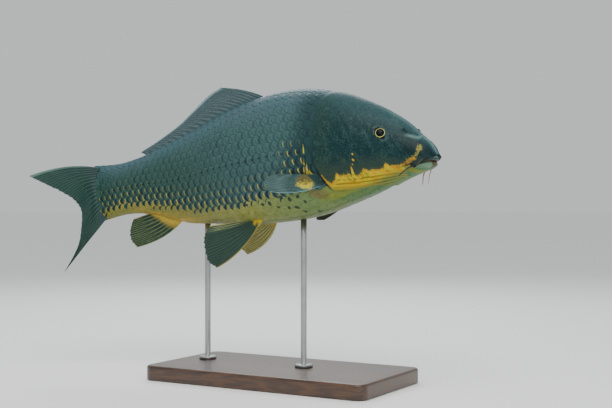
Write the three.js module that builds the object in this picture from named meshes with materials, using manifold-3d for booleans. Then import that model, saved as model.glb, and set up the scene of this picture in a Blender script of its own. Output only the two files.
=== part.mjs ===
// A life-size display model of a swimming koi carp on a two-rod stand.
// Millimetres. +X runs toward the head, +Y toward the fish's left side, +Z up.
// The origin is the middle of the underside of the stand's base.

import * as THREE from 'three';
import { ParametricGeometry } from 'three/addons/geometries/ParametricGeometry.js';
import { mergeVertices } from 'three/addons/utils/BufferGeometryUtils.js';
import Module from 'manifold-3d';

const wasm = await Module();
wasm.setup();

// ---------------------------------------------------------------- driving sizes
// Places on the fish are [along, side, up] in standard lengths: along from the snout toward
// the tail, side toward the fish's left, up from the long axis of the body.

const standardLength = 540;
const gap = 0.3;

const snout = { x: 232, y: -22, z: 325 };
const noseUp = THREE.MathUtils.degToRad(7.2);
const headYaw = THREE.MathUtils.degToRad(-8.2);
const bendStart = 0.25;
const bendRate = THREE.MathUtils.degToRad(9.2);
const bendGrowth = THREE.MathUtils.degToRad(19);
const spineSteps = 300;
const spineReach = 1.3;

// The body's sections, as lines of [along, size]. The snout closes over noseRounding, the back is
// narrowed by backPinch toward its ridge, and the belly is filled out by bellyFill.
const noseRounding = 0.03;
const backPinch = 0.16;
const bellyFill = 0.12;
const bodyTop = [
  [0, -0.05], [0.015, -0.025], [0.037, -0.006], [0.068, 0.028], [0.115, 0.064], [0.168, 0.096],
  [0.237, 0.13], [0.323, 0.156], [0.41, 0.167], [0.5, 0.163], [0.6, 0.144], [0.7, 0.115],
  [0.8, 0.087], [0.87, 0.068], [0.93, 0.059], [1, 0.062],
];
const bodyBottom = [
  [0, -0.072], [0.02, -0.084], [0.07, -0.096], [0.125, -0.11], [0.185, -0.124], [0.255, -0.139],
  [0.33, -0.153], [0.42, -0.158], [0.52, -0.154], [0.62, -0.142], [0.72, -0.13], [0.78, -0.115],
  [0.85, -0.09], [0.92, -0.082], [1, -0.093],
];
const bodyHalfWidth = [
  [0, 0.03], [0.03, 0.038], [0.07, 0.048], [0.12, 0.06], [0.2, 0.08], [0.28, 0.092],
  [0.4, 0.097], [0.52, 0.09], [0.64, 0.072], [0.76, 0.05], [0.88, 0.031], [1, 0.019],
];
// The height at which each section is widest.
const bodyLevel = [
  [0, -0.062], [0.06, -0.045], [0.15, -0.02], [0.35, -0.005], [0.7, -0.004], [1, -0.012],
];
const bodyRings = 36;
const bodySides = 28;
const ringCrowding = 1.25;

// Where the head ends behind the gill covers, as [along, up] on the side of the fish.
const headCut = [
  [0.3, 0.19], [0.262, 0.13], [0.272, 0.07], [0.288, 0.01], [0.283, -0.045], [0.262, -0.1],
  [0.225, -0.2],
];
const gillCover = [
  [0.255, 0.055], [0.215, 0.05], [0.186, 0.018], [0.176, -0.03], [0.162, -0.075], [0.118, -0.108],
  [0.1, -0.2], [0.4, -0.2], [0.4, 0.055],
];
const gillThickness = 6;
const midlineGap = 0.005;
const headReach = 0.2;
const trunkCut = 0.56;
const stalkCut = 0.865;

// The mouth is slightly open. quarter is how far each lip runs round from the front to a corner,
// and arch is how long it stays high before it drops to that corner.
// The chin is everything below a line from seam over the corner to the hinge, behind front, and
// the head is cut away below the same line from ahead.
const mouth = {
  cornerAlong: 0.046, cornerUp: -0.0785, cornerGape: 0.0008, halfWidth: 0.035,
  lipTaper: 0.55, lipPlaces: 4, lipSides: 8, lipSteps: 10,
  upper: {
    along: 0.0095, up: -0.0615, cornerUp: -0.0775, quarter: Math.PI * 0.5, arch: 1.5, radius: 0.006,
  },
  lower: {
    along: 0.029, up: -0.0745, cornerUp: -0.0825, quarter: Math.PI * 0.44, arch: 2, radius: 0.0072,
  },
};
const jaw = { seamUp: -0.0765, seamBehind: 0.0004, hinge: [0.09, -0.13], ahead: -0.05, front: 0.026 };

const eye = { along: 0.1174, up: 0.0103, radius: 8.8, bulge: 2.4 };

// The feelers: a short pair in front on the upper lip and a longer pair at the mouth's corners.
const barbelThinning = 0.6;
const barbelSides = 8;
const barbelSteps = 8;
const barbels = {
  barbel_front_right: {
    path: [[0.02, -0.024, -0.058], [0.024, -0.04, -0.066], [0.034, -0.048, -0.077]], radius: 0.8,
  },
  barbel_front_left: {
    path: [[0.03, 0.03, -0.06], [0.062, 0.052, -0.092], [0.068, 0.05, -0.1135]], radius: 0.8,
  },
  barbel_rear_right: {
    path: [[0.048, -0.03, -0.073], [0.056, -0.05, -0.08], [0.077, -0.056, -0.093]], radius: 1.2,
  },
  barbel_rear_left: {
    path: [[0.052, 0.03, -0.073], [0.079, 0.051, -0.093], [0.083, 0.05, -0.1135]], radius: 1.2,
  },
};

// Each fin is a fan of rays. root and tip are the curves through the rays' feet and ends, bow
// pushes the middle of the leading ray outward, and thickness runs from foot to tip.
const finEdge = 0.5;
const fins = {
  dorsal_fin: {
    root: [[0.462, 0, 0.155], [0.56, 0, 0.144], [0.7, 0, 0.107], [0.845, 0, 0.066]],
    tip: [
      [0.61, 0, 0.211], [0.652, 0, 0.195], [0.7, 0, 0.165], [0.75, 0, 0.134], [0.81, 0, 0.104],
      [0.866, 0, 0.08],
    ],
    bow: [-0.004, 0, 0.006], thickness: [4.2, 0.7], columns: 14, rows: 4,
  },
  anal_fin: {
    root: [[0.76, 0, -0.112], [0.8, 0, -0.1], [0.845, 0, -0.082]],
    tip: [[0.905, 0, -0.17], [0.921, 0, -0.15], [0.92, 0, -0.12], [0.908, 0, -0.094]],
    bow: [-0.008, 0, -0.01], thickness: [4, 0.7], columns: 8, rows: 5,
  },
  caudal_fin: {
    root: [[0.985, 0, 0.052], [0.997, 0, 0.03], [1, 0, -0.015], [0.995, 0, -0.062], [0.98, 0, -0.082]],
    tip: [
      [1.14, -0.12, 0.042], [1.104, -0.102, 0.016], [1.069, -0.078, -0.009], [1.045, -0.06, -0.032],
      [1.032, -0.052, -0.058], [1.029, -0.07, -0.105], [1.034, -0.09, -0.15], [1.046, -0.105, -0.18],
      [1.07, -0.118, -0.217],
    ],
    bow: [0, 0.012, 0.016], thickness: [5, 0.8], columns: 15, rows: 5,
  },
  pectoral_fin_right: {
    root: [[0.265, -0.071, -0.084], [0.28, -0.078, -0.075], [0.297, -0.0885, -0.059]],
    tip: [
      [0.404, -0.119, -0.085], [0.417, -0.125, -0.067], [0.407, -0.128, -0.053],
      [0.385, -0.124, -0.048], [0.355, -0.114, -0.05],
    ],
    bow: [0, -0.005, -0.012], thickness: [4, 0.7], columns: 9, rows: 5,
  },
  pectoral_fin_left: {
    root: [[0.265, 0.071, -0.084], [0.28, 0.078, -0.075], [0.297, 0.0885, -0.059]],
    tip: [
      [0.428, 0.13, -0.157], [0.45, 0.135, -0.15], [0.444, 0.128, -0.126], [0.402, 0.12, -0.102],
      [0.34, 0.107, -0.083],
    ],
    bow: [0, 0.006, -0.02], thickness: [4, 0.7], columns: 9, rows: 5,
  },
  pelvic_fin_right: {
    root: [[0.5, -0.034, -0.14], [0.514, -0.03, -0.14], [0.53, -0.025, -0.14]],
    tip: [
      [0.622, -0.084, -0.25], [0.647, -0.085, -0.232], [0.655, -0.07, -0.19], [0.64, -0.048, -0.16],
      [0.61, -0.034, -0.155],
    ],
    bow: [-0.012, -0.006, -0.014], thickness: [3.6, 0.7], columns: 9, rows: 5,
  },
  pelvic_fin_left: {
    root: [[0.5, 0.034, -0.14], [0.514, 0.03, -0.14], [0.53, 0.025, -0.14]],
    tip: [
      [0.63, 0.078, -0.222], [0.65, 0.08, -0.203], [0.652, 0.066, -0.178], [0.635, 0.048, -0.16],
      [0.61, 0.036, -0.156],
    ],
    bow: [-0.01, 0.008, -0.012], thickness: [3.6, 0.7], columns: 9, rows: 5,
  },
};

const base = { length: 330, width: 170, height: 20, bevel: 3, corner: 14 };
const rod = { radius: 4, footRadius: 12, footHeight: 4, footEdge: 1.2, sides: 20, overlap: 14 };
const rodPlaces = { stand_rod_front: 0.4, stand_rod_rear: 0.69 };

// ---------------------------------------------------------------- curves of the body

// A smooth line through stations, by cubic pieces whose slopes come from the neighbours.
function smoothLine(stations) {
  const slope = stations.map((station, i) => {
    const before = stations[Math.max(i - 1, 0)];
    const after = stations[Math.min(i + 1, stations.length - 1)];
    return (after[1] - before[1]) / (after[0] - before[0]);
  });
  return (along) => {
    const last = stations.length - 2;
    let i = 0;
    while (i < last && along > stations[i + 1][0]) i += 1;
    const [start, low] = stations[i];
    const [end, high] = stations[i + 1];
    const span = end - start;
    const t = THREE.MathUtils.clamp((along - start) / span, 0, 1);
    const rise = t * t * (3 - 2 * t);
    const leave = t * (1 - t) * (1 - t);
    const arrive = t * t * (1 - t);
    return low + (high - low) * rise + span * (slope[i] * leave - slope[i + 1] * arrive);
  };
}

const topAt = smoothLine(bodyTop);
const bottomAt = smoothLine(bodyBottom);
const halfWidthAt = smoothLine(bodyHalfWidth);
const levelAt = smoothLine(bodyLevel);

// Heading of the long axis, measured from +X. The fish curls toward its right side.
function headingAt(along) {
  const t = THREE.MathUtils.clamp((along - bendStart) / (1 - bendStart), 0, 1);
  return headYaw + bendRate * t + bendGrowth * t * t;
}

// The long axis seen from above, walked from the snout toward the tail in small steps.
const spine = [[0, 0]];
for (let i = 1; i <= spineSteps; i += 1) {
  const step = spineReach / spineSteps;
  const heading = headingAt((i - 0.5) * step);
  const [x, y] = spine[i - 1];
  spine.push([x - Math.cos(heading) * step, y - Math.sin(heading) * step]);
}

// The world point of a place given as along, side and up.
function fishPoint(along, side, up, target = new THREE.Vector3()) {
  const place = THREE.MathUtils.clamp((along / spineReach) * spineSteps, 0, spineSteps - 0.001);
  const i = Math.floor(place);
  const x = THREE.MathUtils.lerp(spine[i][0], spine[i + 1][0], place - i);
  const y = THREE.MathUtils.lerp(spine[i][1], spine[i + 1][1], place - i);
  const heading = headingAt(along);
  const forward = Math.min(along, 0) * -1;
  target.set(x - side * Math.sin(heading) + forward, y + side * Math.cos(heading), up);
  target.multiplyScalar(standardLength);
  target.applyAxisAngle(new THREE.Vector3(0, 1, 0), -noseUp);
  return target.add(snout);
}

// Side and up of the body's section at an angle from its top, grown by a clearance.
function sectionAt(along, angle, grow = 0) {
  const nose = 1 - Math.min(along / noseRounding, 1);
  const round = Math.sqrt(Math.max(1 - nose * nose, 0));
  const upright = Math.cos(angle);
  const level = levelAt(along);
  const height = upright > 0 ? topAt(along) - level : level - bottomAt(along);
  const pinch = upright > 0 ? 1 - backPinch * upright * upright : 1 + bellyFill * upright * upright;
  const side = (halfWidthAt(along) * round * pinch + grow) * Math.sin(angle);
  return [side, level + (height * round + grow) * upright];
}

// ---------------------------------------------------------------- making closed forms

// Joins the shared corners of a surface and drops the faces that have no area.
function closedGeometry(surface) {
  const bare = surface.index ? surface.toNonIndexed() : surface.clone();
  bare.deleteAttribute('normal');
  bare.deleteAttribute('uv');
  const merged = mergeVertices(bare, 1e-4);
  const corners = merged.index.array;
  const kept = [];
  for (let i = 0; i < corners.length; i += 3) {
    const [a, b, c] = corners.slice(i, i + 3);
    if (a !== b && b !== c && c !== a) kept.push(a, b, c);
  }
  merged.setIndex(kept);
  return merged;
}

// A closed form made of rings. pointAt gives the point at a turn around and a share along, and
// one more ring at each end, drawn by endAt, closes it.
function ringForm(pointAt, endAt, around, along) {
  const surface = (turn, share, target) => {
    const ring = Math.round(share * (along + 2)) - 1;
    const reach = THREE.MathUtils.clamp(ring / along, 0, 1);
    const place = ring < 0 || ring > along ? endAt(turn, reach) : pointAt(turn, reach);
    target.copy(place);
  };
  return closedGeometry(new ParametricGeometry(surface, around, along + 2));
}

function toSolid(geometry) {
  const mesh = new wasm.Mesh({
    numProp: 3,
    vertProperties: new Float32Array(geometry.attributes.position.array),
    triVerts: new Uint32Array(geometry.index.array),
  });
  const solid = new wasm.Manifold(mesh);
  if (solid.volume() > 0) return solid;
  const flipped = geometry.clone();
  flipped.setIndex(Array.from(geometry.index.array).reverse());
  return toSolid(flipped);
}

function toGeometry(solid) {
  const mesh = solid.getMesh();
  const geometry = new THREE.BufferGeometry();
  geometry.setAttribute('position', new THREE.BufferAttribute(mesh.vertProperties, 3));
  geometry.setIndex(new THREE.BufferAttribute(mesh.triVerts, 1));
  geometry.computeVertexNormals();
  return geometry;
}

// The whole body from snout to tail root, grown or shrunk by a clearance in millimetres.
function bodySolid(clearance = 0) {
  const grow = clearance / standardLength;
  const alongAt = (share) => Math.pow(share, ringCrowding) * (1 + 2 * grow) - grow;
  const pointAt = (turn, share) => {
    const along = alongAt(share);
    const [side, up] = sectionAt(Math.max(along, 0), turn * Math.PI * 2, grow);
    return fishPoint(along, side, up);
  };
  const endAt = (turn, share) => {
    const along = alongAt(share);
    return fishPoint(along, 0, levelAt(Math.max(along, 0)));
  };
  return toSolid(ringForm(pointAt, endAt, bodySides, bodyRings));
}

// An outline with every side moved outward by the same distance.
function widened(corners, distance) {
  const outward = THREE.ShapeUtils.area(corners) > 0 ? distance : -distance;
  const count = corners.length;
  const normals = corners.map((corner, i) => {
    const side = corners[(i + 1) % count].clone().sub(corner).normalize();
    return new THREE.Vector2(side.y, -side.x);
  });
  return corners.map((corner, i) => {
    const before = normals[(i + count - 1) % count];
    const turn = before.clone().add(normals[i]).divideScalar(1 + before.dot(normals[i]));
    return corner.clone().addScaledVector(turn, outward);
  });
}

// A block whose outline is drawn on the side of the head and which runs straight across it.
function acrossHead(outline, fromSide, toSide, grow = 0) {
  const corners = outline.map(([along, up]) => new THREE.Vector2(along, up));
  const shape = new THREE.Shape(widened(corners, grow / standardLength));
  const block = new THREE.ExtrudeGeometry(shape, { depth: 1, bevelEnabled: false, steps: 1 });
  const position = block.attributes.position;
  const point = new THREE.Vector3();
  const origin = fishPoint(0, 0, 0);
  const back = fishPoint(0.1, 0, 0).sub(origin).multiplyScalar(10);
  const left = fishPoint(0, 0.1, 0).sub(origin).multiplyScalar(10);
  const upward = fishPoint(0, 0, 0.1).sub(origin).multiplyScalar(10);
  for (let i = 0; i < position.count; i += 1) {
    point.copy(origin);
    point.addScaledVector(back, position.getX(i));
    point.addScaledVector(upward, position.getY(i));
    point.addScaledVector(left, THREE.MathUtils.lerp(fromSide, toSide, position.getZ(i)));
    position.setXYZ(i, point.x, point.y, point.z);
  }
  return toSolid(closedGeometry(block));
}

// Everything behind a place on the body, as a box turned to the body's heading there.
function behind(along) {
  const size = standardLength * spineReach;
  const box = new THREE.BoxGeometry(size, size, size);
  box.translate(-size / 2, 0, 0);
  box.rotateZ(headingAt(along));
  box.rotateY(-noseUp);
  const place = fishPoint(along, 0, 0);
  box.translate(place.x, place.y, place.z);
  return toSolid(closedGeometry(box));
}

// A round strand along a curve through places, thinning from its foot to its tip.
function strand(places, radiusAt, sides, steps) {
  const curve = new THREE.CatmullRomCurve3(places.map((place) => fishPoint(...place)));
  const frames = curve.computeFrenetFrames(steps, false);
  const pointAt = (turn, share) => {
    const ring = Math.round(share * steps);
    const angle = turn * Math.PI * 2;
    const point = curve.getPointAt(share);
    point.addScaledVector(frames.normals[ring], radiusAt(share) * Math.cos(angle));
    point.addScaledVector(frames.binormals[ring], radiusAt(share) * Math.sin(angle));
    return point;
  };
  const endAt = (turn, share) => curve.getPointAt(share);
  return toSolid(ringForm(pointAt, endAt, sides, steps));
}

// ---------------------------------------------------------------- the fins

// A fan of rays between its root and tip curves. Its section is a thin lens: the turn runs
// over one face from the leading ray to the last one and back over the other face.
function finSolid({ root, tip, bow, thickness, columns, rows }) {
  const rootCurve = new THREE.CatmullRomCurve3(root.map((place) => new THREE.Vector3(...place)));
  const tipCurve = new THREE.CatmullRomCurve3(tip.map((place) => new THREE.Vector3(...place)));
  const bowing = new THREE.Vector3(...bow);
  const middleAt = (across, reach) => {
    const place = rootCurve.getPoint(across).lerp(tipCurve.getPoint(across), reach);
    place.addScaledVector(bowing, (1 - across) * 4 * reach * (1 - reach));
    return fishPoint(place.x, place.y, place.z);
  };
  const small = 0.01;
  const faceAt = (across, reach) => {
    const a = THREE.MathUtils.clamp(across, small, 1 - small);
    const r = THREE.MathUtils.clamp(reach, small, 1 - small);
    const widthways = middleAt(a + small, r).sub(middleAt(a - small, r));
    const lengthways = middleAt(a, r + small).sub(middleAt(a, r - small));
    return widthways.cross(lengthways).normalize();
  };
  const acrossOf = (turn) => (1 - Math.cos(turn * Math.PI * 2)) / 2;
  const pointAt = (turn, reach) => {
    const across = acrossOf(turn);
    const edge = Math.pow(Math.abs(Math.sin(turn * Math.PI * 2)), finEdge);
    const middle = THREE.MathUtils.lerp(thickness[0], thickness[1], Math.sqrt(reach));
    const half = (middle / 2) * edge;
    const outward = turn < 0.5 ? half : -half;
    return middleAt(across, reach).addScaledVector(faceAt(across, reach), outward);
  };
  const endAt = (turn, reach) => middleAt(acrossOf(turn), reach);
  return toSolid(ringForm(pointAt, endAt, columns * 2, rows));
}

// ---------------------------------------------------------------- the head

// The rim of the mouth: a half ellipse from one corner round the front to the other.
function lipPlaces(front) {
  const places = [];
  for (let i = -mouth.lipPlaces; i <= mouth.lipPlaces; i += 1) {
    const angle = (i / mouth.lipPlaces) * front.quarter;
    const backward = 1 - Math.cos(angle);
    places.push([
      THREE.MathUtils.lerp(front.along, mouth.cornerAlong, backward),
      mouth.halfWidth * Math.sin(angle),
      THREE.MathUtils.lerp(front.up, front.cornerUp, Math.pow(backward, front.arch)),
    ]);
  }
  return places;
}

function lipSolid(front, grow) {
  const radiusAt = (share) => {
    const corner = Math.pow(Math.abs(share * 2 - 1), 2);
    return front.radius * standardLength * (1 - mouth.lipTaper * corner) + grow;
  };
  return strand(lipPlaces(front), radiusAt, mouth.lipSides, mouth.lipSteps);
}

// The ball of an eye, sunk square to the cheek until only its bulge stands out.
function eyeSolid(sign, grow) {
  const ball = new THREE.IcosahedronGeometry(eye.radius + grow, 2);
  const level = levelAt(eye.along);
  const angle = sign * Math.acos((eye.up - level) / (topAt(eye.along) - level));
  const cheekAt = (along, turn) => fishPoint(along, ...sectionAt(along, turn));
  const step = 0.001;
  const around = cheekAt(eye.along, angle + step).sub(cheekAt(eye.along, angle - step));
  const backward = cheekAt(eye.along + step, angle).sub(cheekAt(eye.along - step, angle));
  const outward = around.cross(backward).normalize();
  const centre = cheekAt(eye.along, angle).addScaledVector(outward, eye.bulge - eye.radius);
  ball.translate(centre.x, centre.y, centre.z);
  return toSolid(closedGeometry(ball));
}

// ---------------------------------------------------------------- the stand

function baseSolid() {
  const half = { x: base.length / 2 - base.bevel, y: base.width / 2 - base.bevel };
  const outline = new THREE.Shape();
  outline.moveTo(-half.x + base.corner, -half.y);
  outline.absarc(half.x - base.corner, -half.y + base.corner, base.corner, -Math.PI / 2, 0);
  outline.absarc(half.x - base.corner, half.y - base.corner, base.corner, 0, Math.PI / 2);
  outline.absarc(-half.x + base.corner, half.y - base.corner, base.corner, Math.PI / 2, Math.PI);
  outline.absarc(-half.x + base.corner, -half.y + base.corner, base.corner, Math.PI, Math.PI * 1.5);
  const slab = new THREE.ExtrudeGeometry(outline, {
    depth: base.height - 2 * base.bevel,
    bevelThickness: base.bevel,
    bevelSize: base.bevel,
    bevelSegments: 1,
    curveSegments: 4,
  });
  slab.translate(0, 0, base.bevel);
  return toSolid(closedGeometry(slab));
}

// A round rod with a small foot plate, running up into the belly before it is cut to it.
function rodSolid(along) {
  const belly = fishPoint(along, 0, bottomAt(along));
  const foot = base.height + gap;
  const profile = [
    new THREE.Vector2(0, foot),
    new THREE.Vector2(rod.footRadius, foot),
    new THREE.Vector2(rod.footRadius, foot + rod.footHeight - rod.footEdge),
    new THREE.Vector2(rod.footRadius - rod.footEdge, foot + rod.footHeight),
    new THREE.Vector2(rod.radius, foot + rod.footHeight),
    new THREE.Vector2(rod.radius, belly.z + rod.overlap),
    new THREE.Vector2(0, belly.z + rod.overlap),
  ];
  const post = new THREE.LatheGeometry(profile, rod.sides);
  post.rotateX(Math.PI / 2);
  post.translate(belly.x, belly.y, 0);
  return toSolid(closedGeometry(post));
}

// ---------------------------------------------------------------- putting it together

const body = bodySolid();
const bodyCleared = bodySolid(gap);
const bodyCore = bodySolid(-gillThickness);
const bodyCoreLess = bodySolid(-gillThickness - gap);

const headBlock = [[-0.1, 0.3], [-0.1, -0.3], [0.2, -0.3], ...headCut.slice().reverse(), [0.3, 0.3]];
const front = body.intersect(acrossHead(headBlock, -headReach, headReach));
const rest = body.subtract(acrossHead(headBlock, -headReach, headReach, gap));

const solids = {};
let head = front;

for (const [name, sign] of [['right', -1], ['left', 1]]) {
  const inner = sign * midlineGap;
  const plate = acrossHead(gillCover, inner, sign * headReach);
  const pocket = acrossHead(gillCover, inner, sign * headReach, gap);
  solids[`gill_cover_${name}`] = front.intersect(plate).subtract(bodyCore);
  head = head.subtract(pocket.subtract(bodyCoreLess));
  solids[`eye_${name}`] = eyeSolid(sign, 0);
  head = head.subtract(eyeSolid(sign, gap));
}

const corner = mouth.cornerAlong;
const gape = [
  [jaw.ahead, mouth.upper.up], [mouth.upper.along, mouth.upper.up],
  [corner, mouth.cornerUp + mouth.cornerGape], [corner, mouth.cornerUp], [jaw.ahead, jaw.seamUp],
];
const jawOutlineFrom = (ahead) => [
  [ahead, jaw.seamUp], [corner, mouth.cornerUp + jaw.seamBehind], jaw.hinge, [ahead, jaw.hinge[1]],
];
head = head.subtract(acrossHead(gape, -headReach, headReach));
const upperLip = lipSolid(mouth.upper, 0);
const lowerLip = lipSolid(mouth.lower, 0);
const upperLipCleared = lipSolid(mouth.upper, gap);
const lowerLipCleared = lipSolid(mouth.lower, gap);
const chin = head.intersect(acrossHead(jawOutlineFrom(jaw.front), -headReach, headReach));
head = head.subtract(acrossHead(jawOutlineFrom(jaw.ahead), -headReach, headReach, gap));
solids.lower_jaw = chin.subtract(lowerLipCleared).subtract(upperLipCleared);
solids.lip_upper = upperLip;
solids.lip_lower = lowerLip.subtract(upperLipCleared);
head = head.subtract(upperLipCleared).subtract(lowerLipCleared);
solids.head = head;

solids.trunk_front = rest.subtract(behind(trunkCut));
solids.trunk_rear = rest.intersect(behind(trunkCut + gap / standardLength)).subtract(behind(stalkCut));
solids.tail_stalk = rest.intersect(behind(stalkCut + gap / standardLength));

for (const [name, { path, radius }] of Object.entries(barbels)) {
  const radiusAt = (share) => radius * (1 - barbelThinning * share);
  const feeler = strand(path, radiusAt, barbelSides, barbelSteps);
  solids[name] = feeler.subtract(bodyCleared).subtract(upperLipCleared).subtract(lowerLipCleared);
}

for (const [name, fin] of Object.entries(fins)) {
  solids[name] = finSolid(fin).subtract(bodyCleared);
}

solids.stand_base = baseSolid();
for (const [name, along] of Object.entries(rodPlaces)) {
  solids[name] = rodSolid(along).subtract(bodyCleared);
}

// ---------------------------------------------------------------- looks and hand-over

const skinLook = { color: 0x35484a, roughness: 0.45, metalness: 0.05 };
const looks = {
  head: { color: 0x3c5050, roughness: 0.45, metalness: 0.05 },
  lower_jaw: { color: 0xa89a3c, roughness: 0.5, metalness: 0 },
  lip_upper: { color: 0x4a5c5a, roughness: 0.5, metalness: 0 },
  lip_lower: { color: 0x78917e, roughness: 0.5, metalness: 0 },
  gill_cover_right: { color: 0x7c7a3a, roughness: 0.45, metalness: 0.05 },
  gill_cover_left: { color: 0x7c7a3a, roughness: 0.45, metalness: 0.05 },
  eye_right: { color: 0xb9b45a, roughness: 0.15, metalness: 0 },
  eye_left: { color: 0xb9b45a, roughness: 0.15, metalness: 0 },
  stand_base: { color: 0x3a2618, roughness: 0.4, metalness: 0 },
  stand_rod_front: { color: 0x8a8d90, roughness: 0.3, metalness: 1 },
  stand_rod_rear: { color: 0x8a8d90, roughness: 0.3, metalness: 1 },
};
const finLook = { color: 0x3c5048, roughness: 0.5, metalness: 0 };
const barbelLook = { color: 0x5a5048, roughness: 0.5, metalness: 0 };

const group = new THREE.Group();
for (const [name, solid] of Object.entries(solids)) {
  const fleshLook = name.includes('barbel') ? barbelLook : skinLook;
  const look = looks[name] ?? (name.includes('fin') ? finLook : fleshLook);
  const mesh = new THREE.Mesh(toGeometry(solid), new THREE.MeshStandardMaterial(look));
  mesh.name = name;
  group.add(mesh);
}

export default group;
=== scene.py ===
# A life-size display model of a swimming koi carp on a two-rod stand.
import math

import bpy
import numpy as np
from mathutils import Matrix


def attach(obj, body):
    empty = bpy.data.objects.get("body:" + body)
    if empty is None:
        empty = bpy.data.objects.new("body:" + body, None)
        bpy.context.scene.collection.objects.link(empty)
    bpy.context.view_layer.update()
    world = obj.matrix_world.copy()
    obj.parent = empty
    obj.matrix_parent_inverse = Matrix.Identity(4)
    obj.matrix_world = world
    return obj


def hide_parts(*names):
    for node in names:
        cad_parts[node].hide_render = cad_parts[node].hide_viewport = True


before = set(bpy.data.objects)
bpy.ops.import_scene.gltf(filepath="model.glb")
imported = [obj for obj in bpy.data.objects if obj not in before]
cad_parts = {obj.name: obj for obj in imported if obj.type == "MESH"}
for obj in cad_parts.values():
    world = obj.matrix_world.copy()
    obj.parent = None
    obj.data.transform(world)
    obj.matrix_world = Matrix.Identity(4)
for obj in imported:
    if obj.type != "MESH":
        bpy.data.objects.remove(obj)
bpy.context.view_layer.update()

randomness = np.random.default_rng(11)
print("frame loaded:", len(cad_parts), "nodes")


# The view and the light

studio = {
    "cameraPlace": (0.7588, -1.2486, 0.2354),
    "cameraTurn": 30.0,             # degrees round from looking along +Y
    "lens": 64.7,
    "sensor": 36.0,
    "floorRadius": 30.0,
    "floorSides": 96,
    "floorTone": (0.95, 0.965, 0.96),
    "floorCloud": 0.97,             # the darker of its two tones as a share of the paler
    "skyTone": (0.86, 0.89, 0.89),
    "skyStrength": 0.75,
}
# each lamp has a place, the height that it is turned to, a width, a power and a colour
lamps = {
    "keyLight": ((0.35, -0.75, 1.55), 0.3, 1.3, 20.0, (1.0, 0.98, 0.95)),
    "fillLight": ((1.3, -1.5, 0.7), 0.28, 1.2, 5.0, (0.95, 0.98, 1.0)),
    "rimLight": ((-0.7, 1.1, 1.3), 0.3, 1.0, 13.0, (0.95, 1.0, 1.0)),
}


def addToScene(name, data):
    made = bpy.data.objects.new(name, data)
    bpy.context.scene.collection.objects.link(made)
    return made


def placeCamera(settings):
    data = bpy.data.cameras.new("view")
    data.lens = settings["lens"]
    data.sensor_width = settings["sensor"]
    camera = addToScene("view", data)
    camera.location = settings["cameraPlace"]
    camera.rotation_euler = (math.radians(90), 0, math.radians(settings["cameraTurn"]))
    bpy.context.scene.camera = camera


def addLamp(name, place, height, width, power, colour):
    data = bpy.data.lights.new(name, "AREA")
    data.shape = "DISK"
    data.size = width
    data.energy = power
    data.color = colour
    lamp = addToScene(name, data)
    lamp.location = place
    x, y, z = place
    lamp.rotation_euler = (math.atan2(math.hypot(x, y), z - height), 0, math.atan2(x, -y))


placeCamera(studio)
for lampName, lampShape in lamps.items():
    addLamp(lampName, *lampShape)
print("camera and lights placed")


# Numbers

def smoothStep(value, low, high):
    # a cubic ease from 0 at low to 1 at high
    share = np.clip((value - low) / (high - low), 0, 1)
    return share * share * (3 - 2 * share)


def dip(distance, width):
    # a smooth hump of height 1 and the given half width
    return np.exp(-(distance / width) ** 2)


def unit(vectors):
    return vectors / np.maximum(np.linalg.norm(vectors, axis=-1, keepdims=True), 1e-12)


def roundAngles(count, start=0.0):
    # evenly spaced angles of a full turn, in radians
    return (np.arange(count) + start) / count * 2 * math.pi


def smoothLine(stations):
    # cubic pieces through the stations, with slopes taken from the neighbours
    place, size = np.array(stations, float).T
    count = len(place)
    before = np.maximum(np.arange(count) - 1, 0)
    after = np.minimum(np.arange(count) + 1, count - 1)
    slope = (size[after] - size[before]) / (place[after] - place[before])

    def at(along):
        along = np.asarray(along, float)
        i = np.clip(np.searchsorted(place, along) - 1, 0, count - 2)
        span = place[i + 1] - place[i]
        t = np.clip((along - place[i]) / span, 0, 1)
        rise = t * t * (3 - 2 * t)
        lean = slope[i] * t * (1 - t) ** 2 - slope[i + 1] * t * t * (1 - t)
        return size[i] + (size[i + 1] - size[i]) * rise + span * lean

    return at


def curveThrough(corners):
    # a centripetal Catmull-Rom curve through the corners, read at a share from 0 to 1
    inner = np.array(corners, float)
    first = 2 * inner[0] - inner[1]
    last = 2 * inner[-1] - inner[-2]
    points = np.vstack([first, inner, last])
    steps = np.sqrt(np.linalg.norm(np.diff(points, axis=0), axis=1))

    def at(share):
        place = np.clip(np.asarray(share, float), 0, 1) * (len(inner) - 1)
        i = np.minimum(place.astype(int), len(inner) - 2)
        t = (place - i)[..., None]
        p0, p1, p2, p3 = (points[i + k] for k in range(4))
        d0, d1, d2 = (steps[i + k][..., None] for k in range(3))
        m1 = ((p1 - p0) / d0 - (p2 - p0) / (d0 + d1) + (p2 - p1) / d1) * d1
        m2 = ((p2 - p1) / d1 - (p3 - p1) / (d1 + d2) + (p3 - p2) / d2) * d1
        cubic = 2 * p1 - 2 * p2 + m1 + m2
        square = 3 * p2 - 3 * p1 - 2 * m1 - m2
        return p1 + t * (m1 + t * (square + t * cubic))

    return at


# The shape of the body, the same as the frame's but thinner where it runs into the tail fin:
# along from the snout toward the tail, side toward the fish's left and up from its long axis, all
# in lengths of the body without the tail fin

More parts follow.
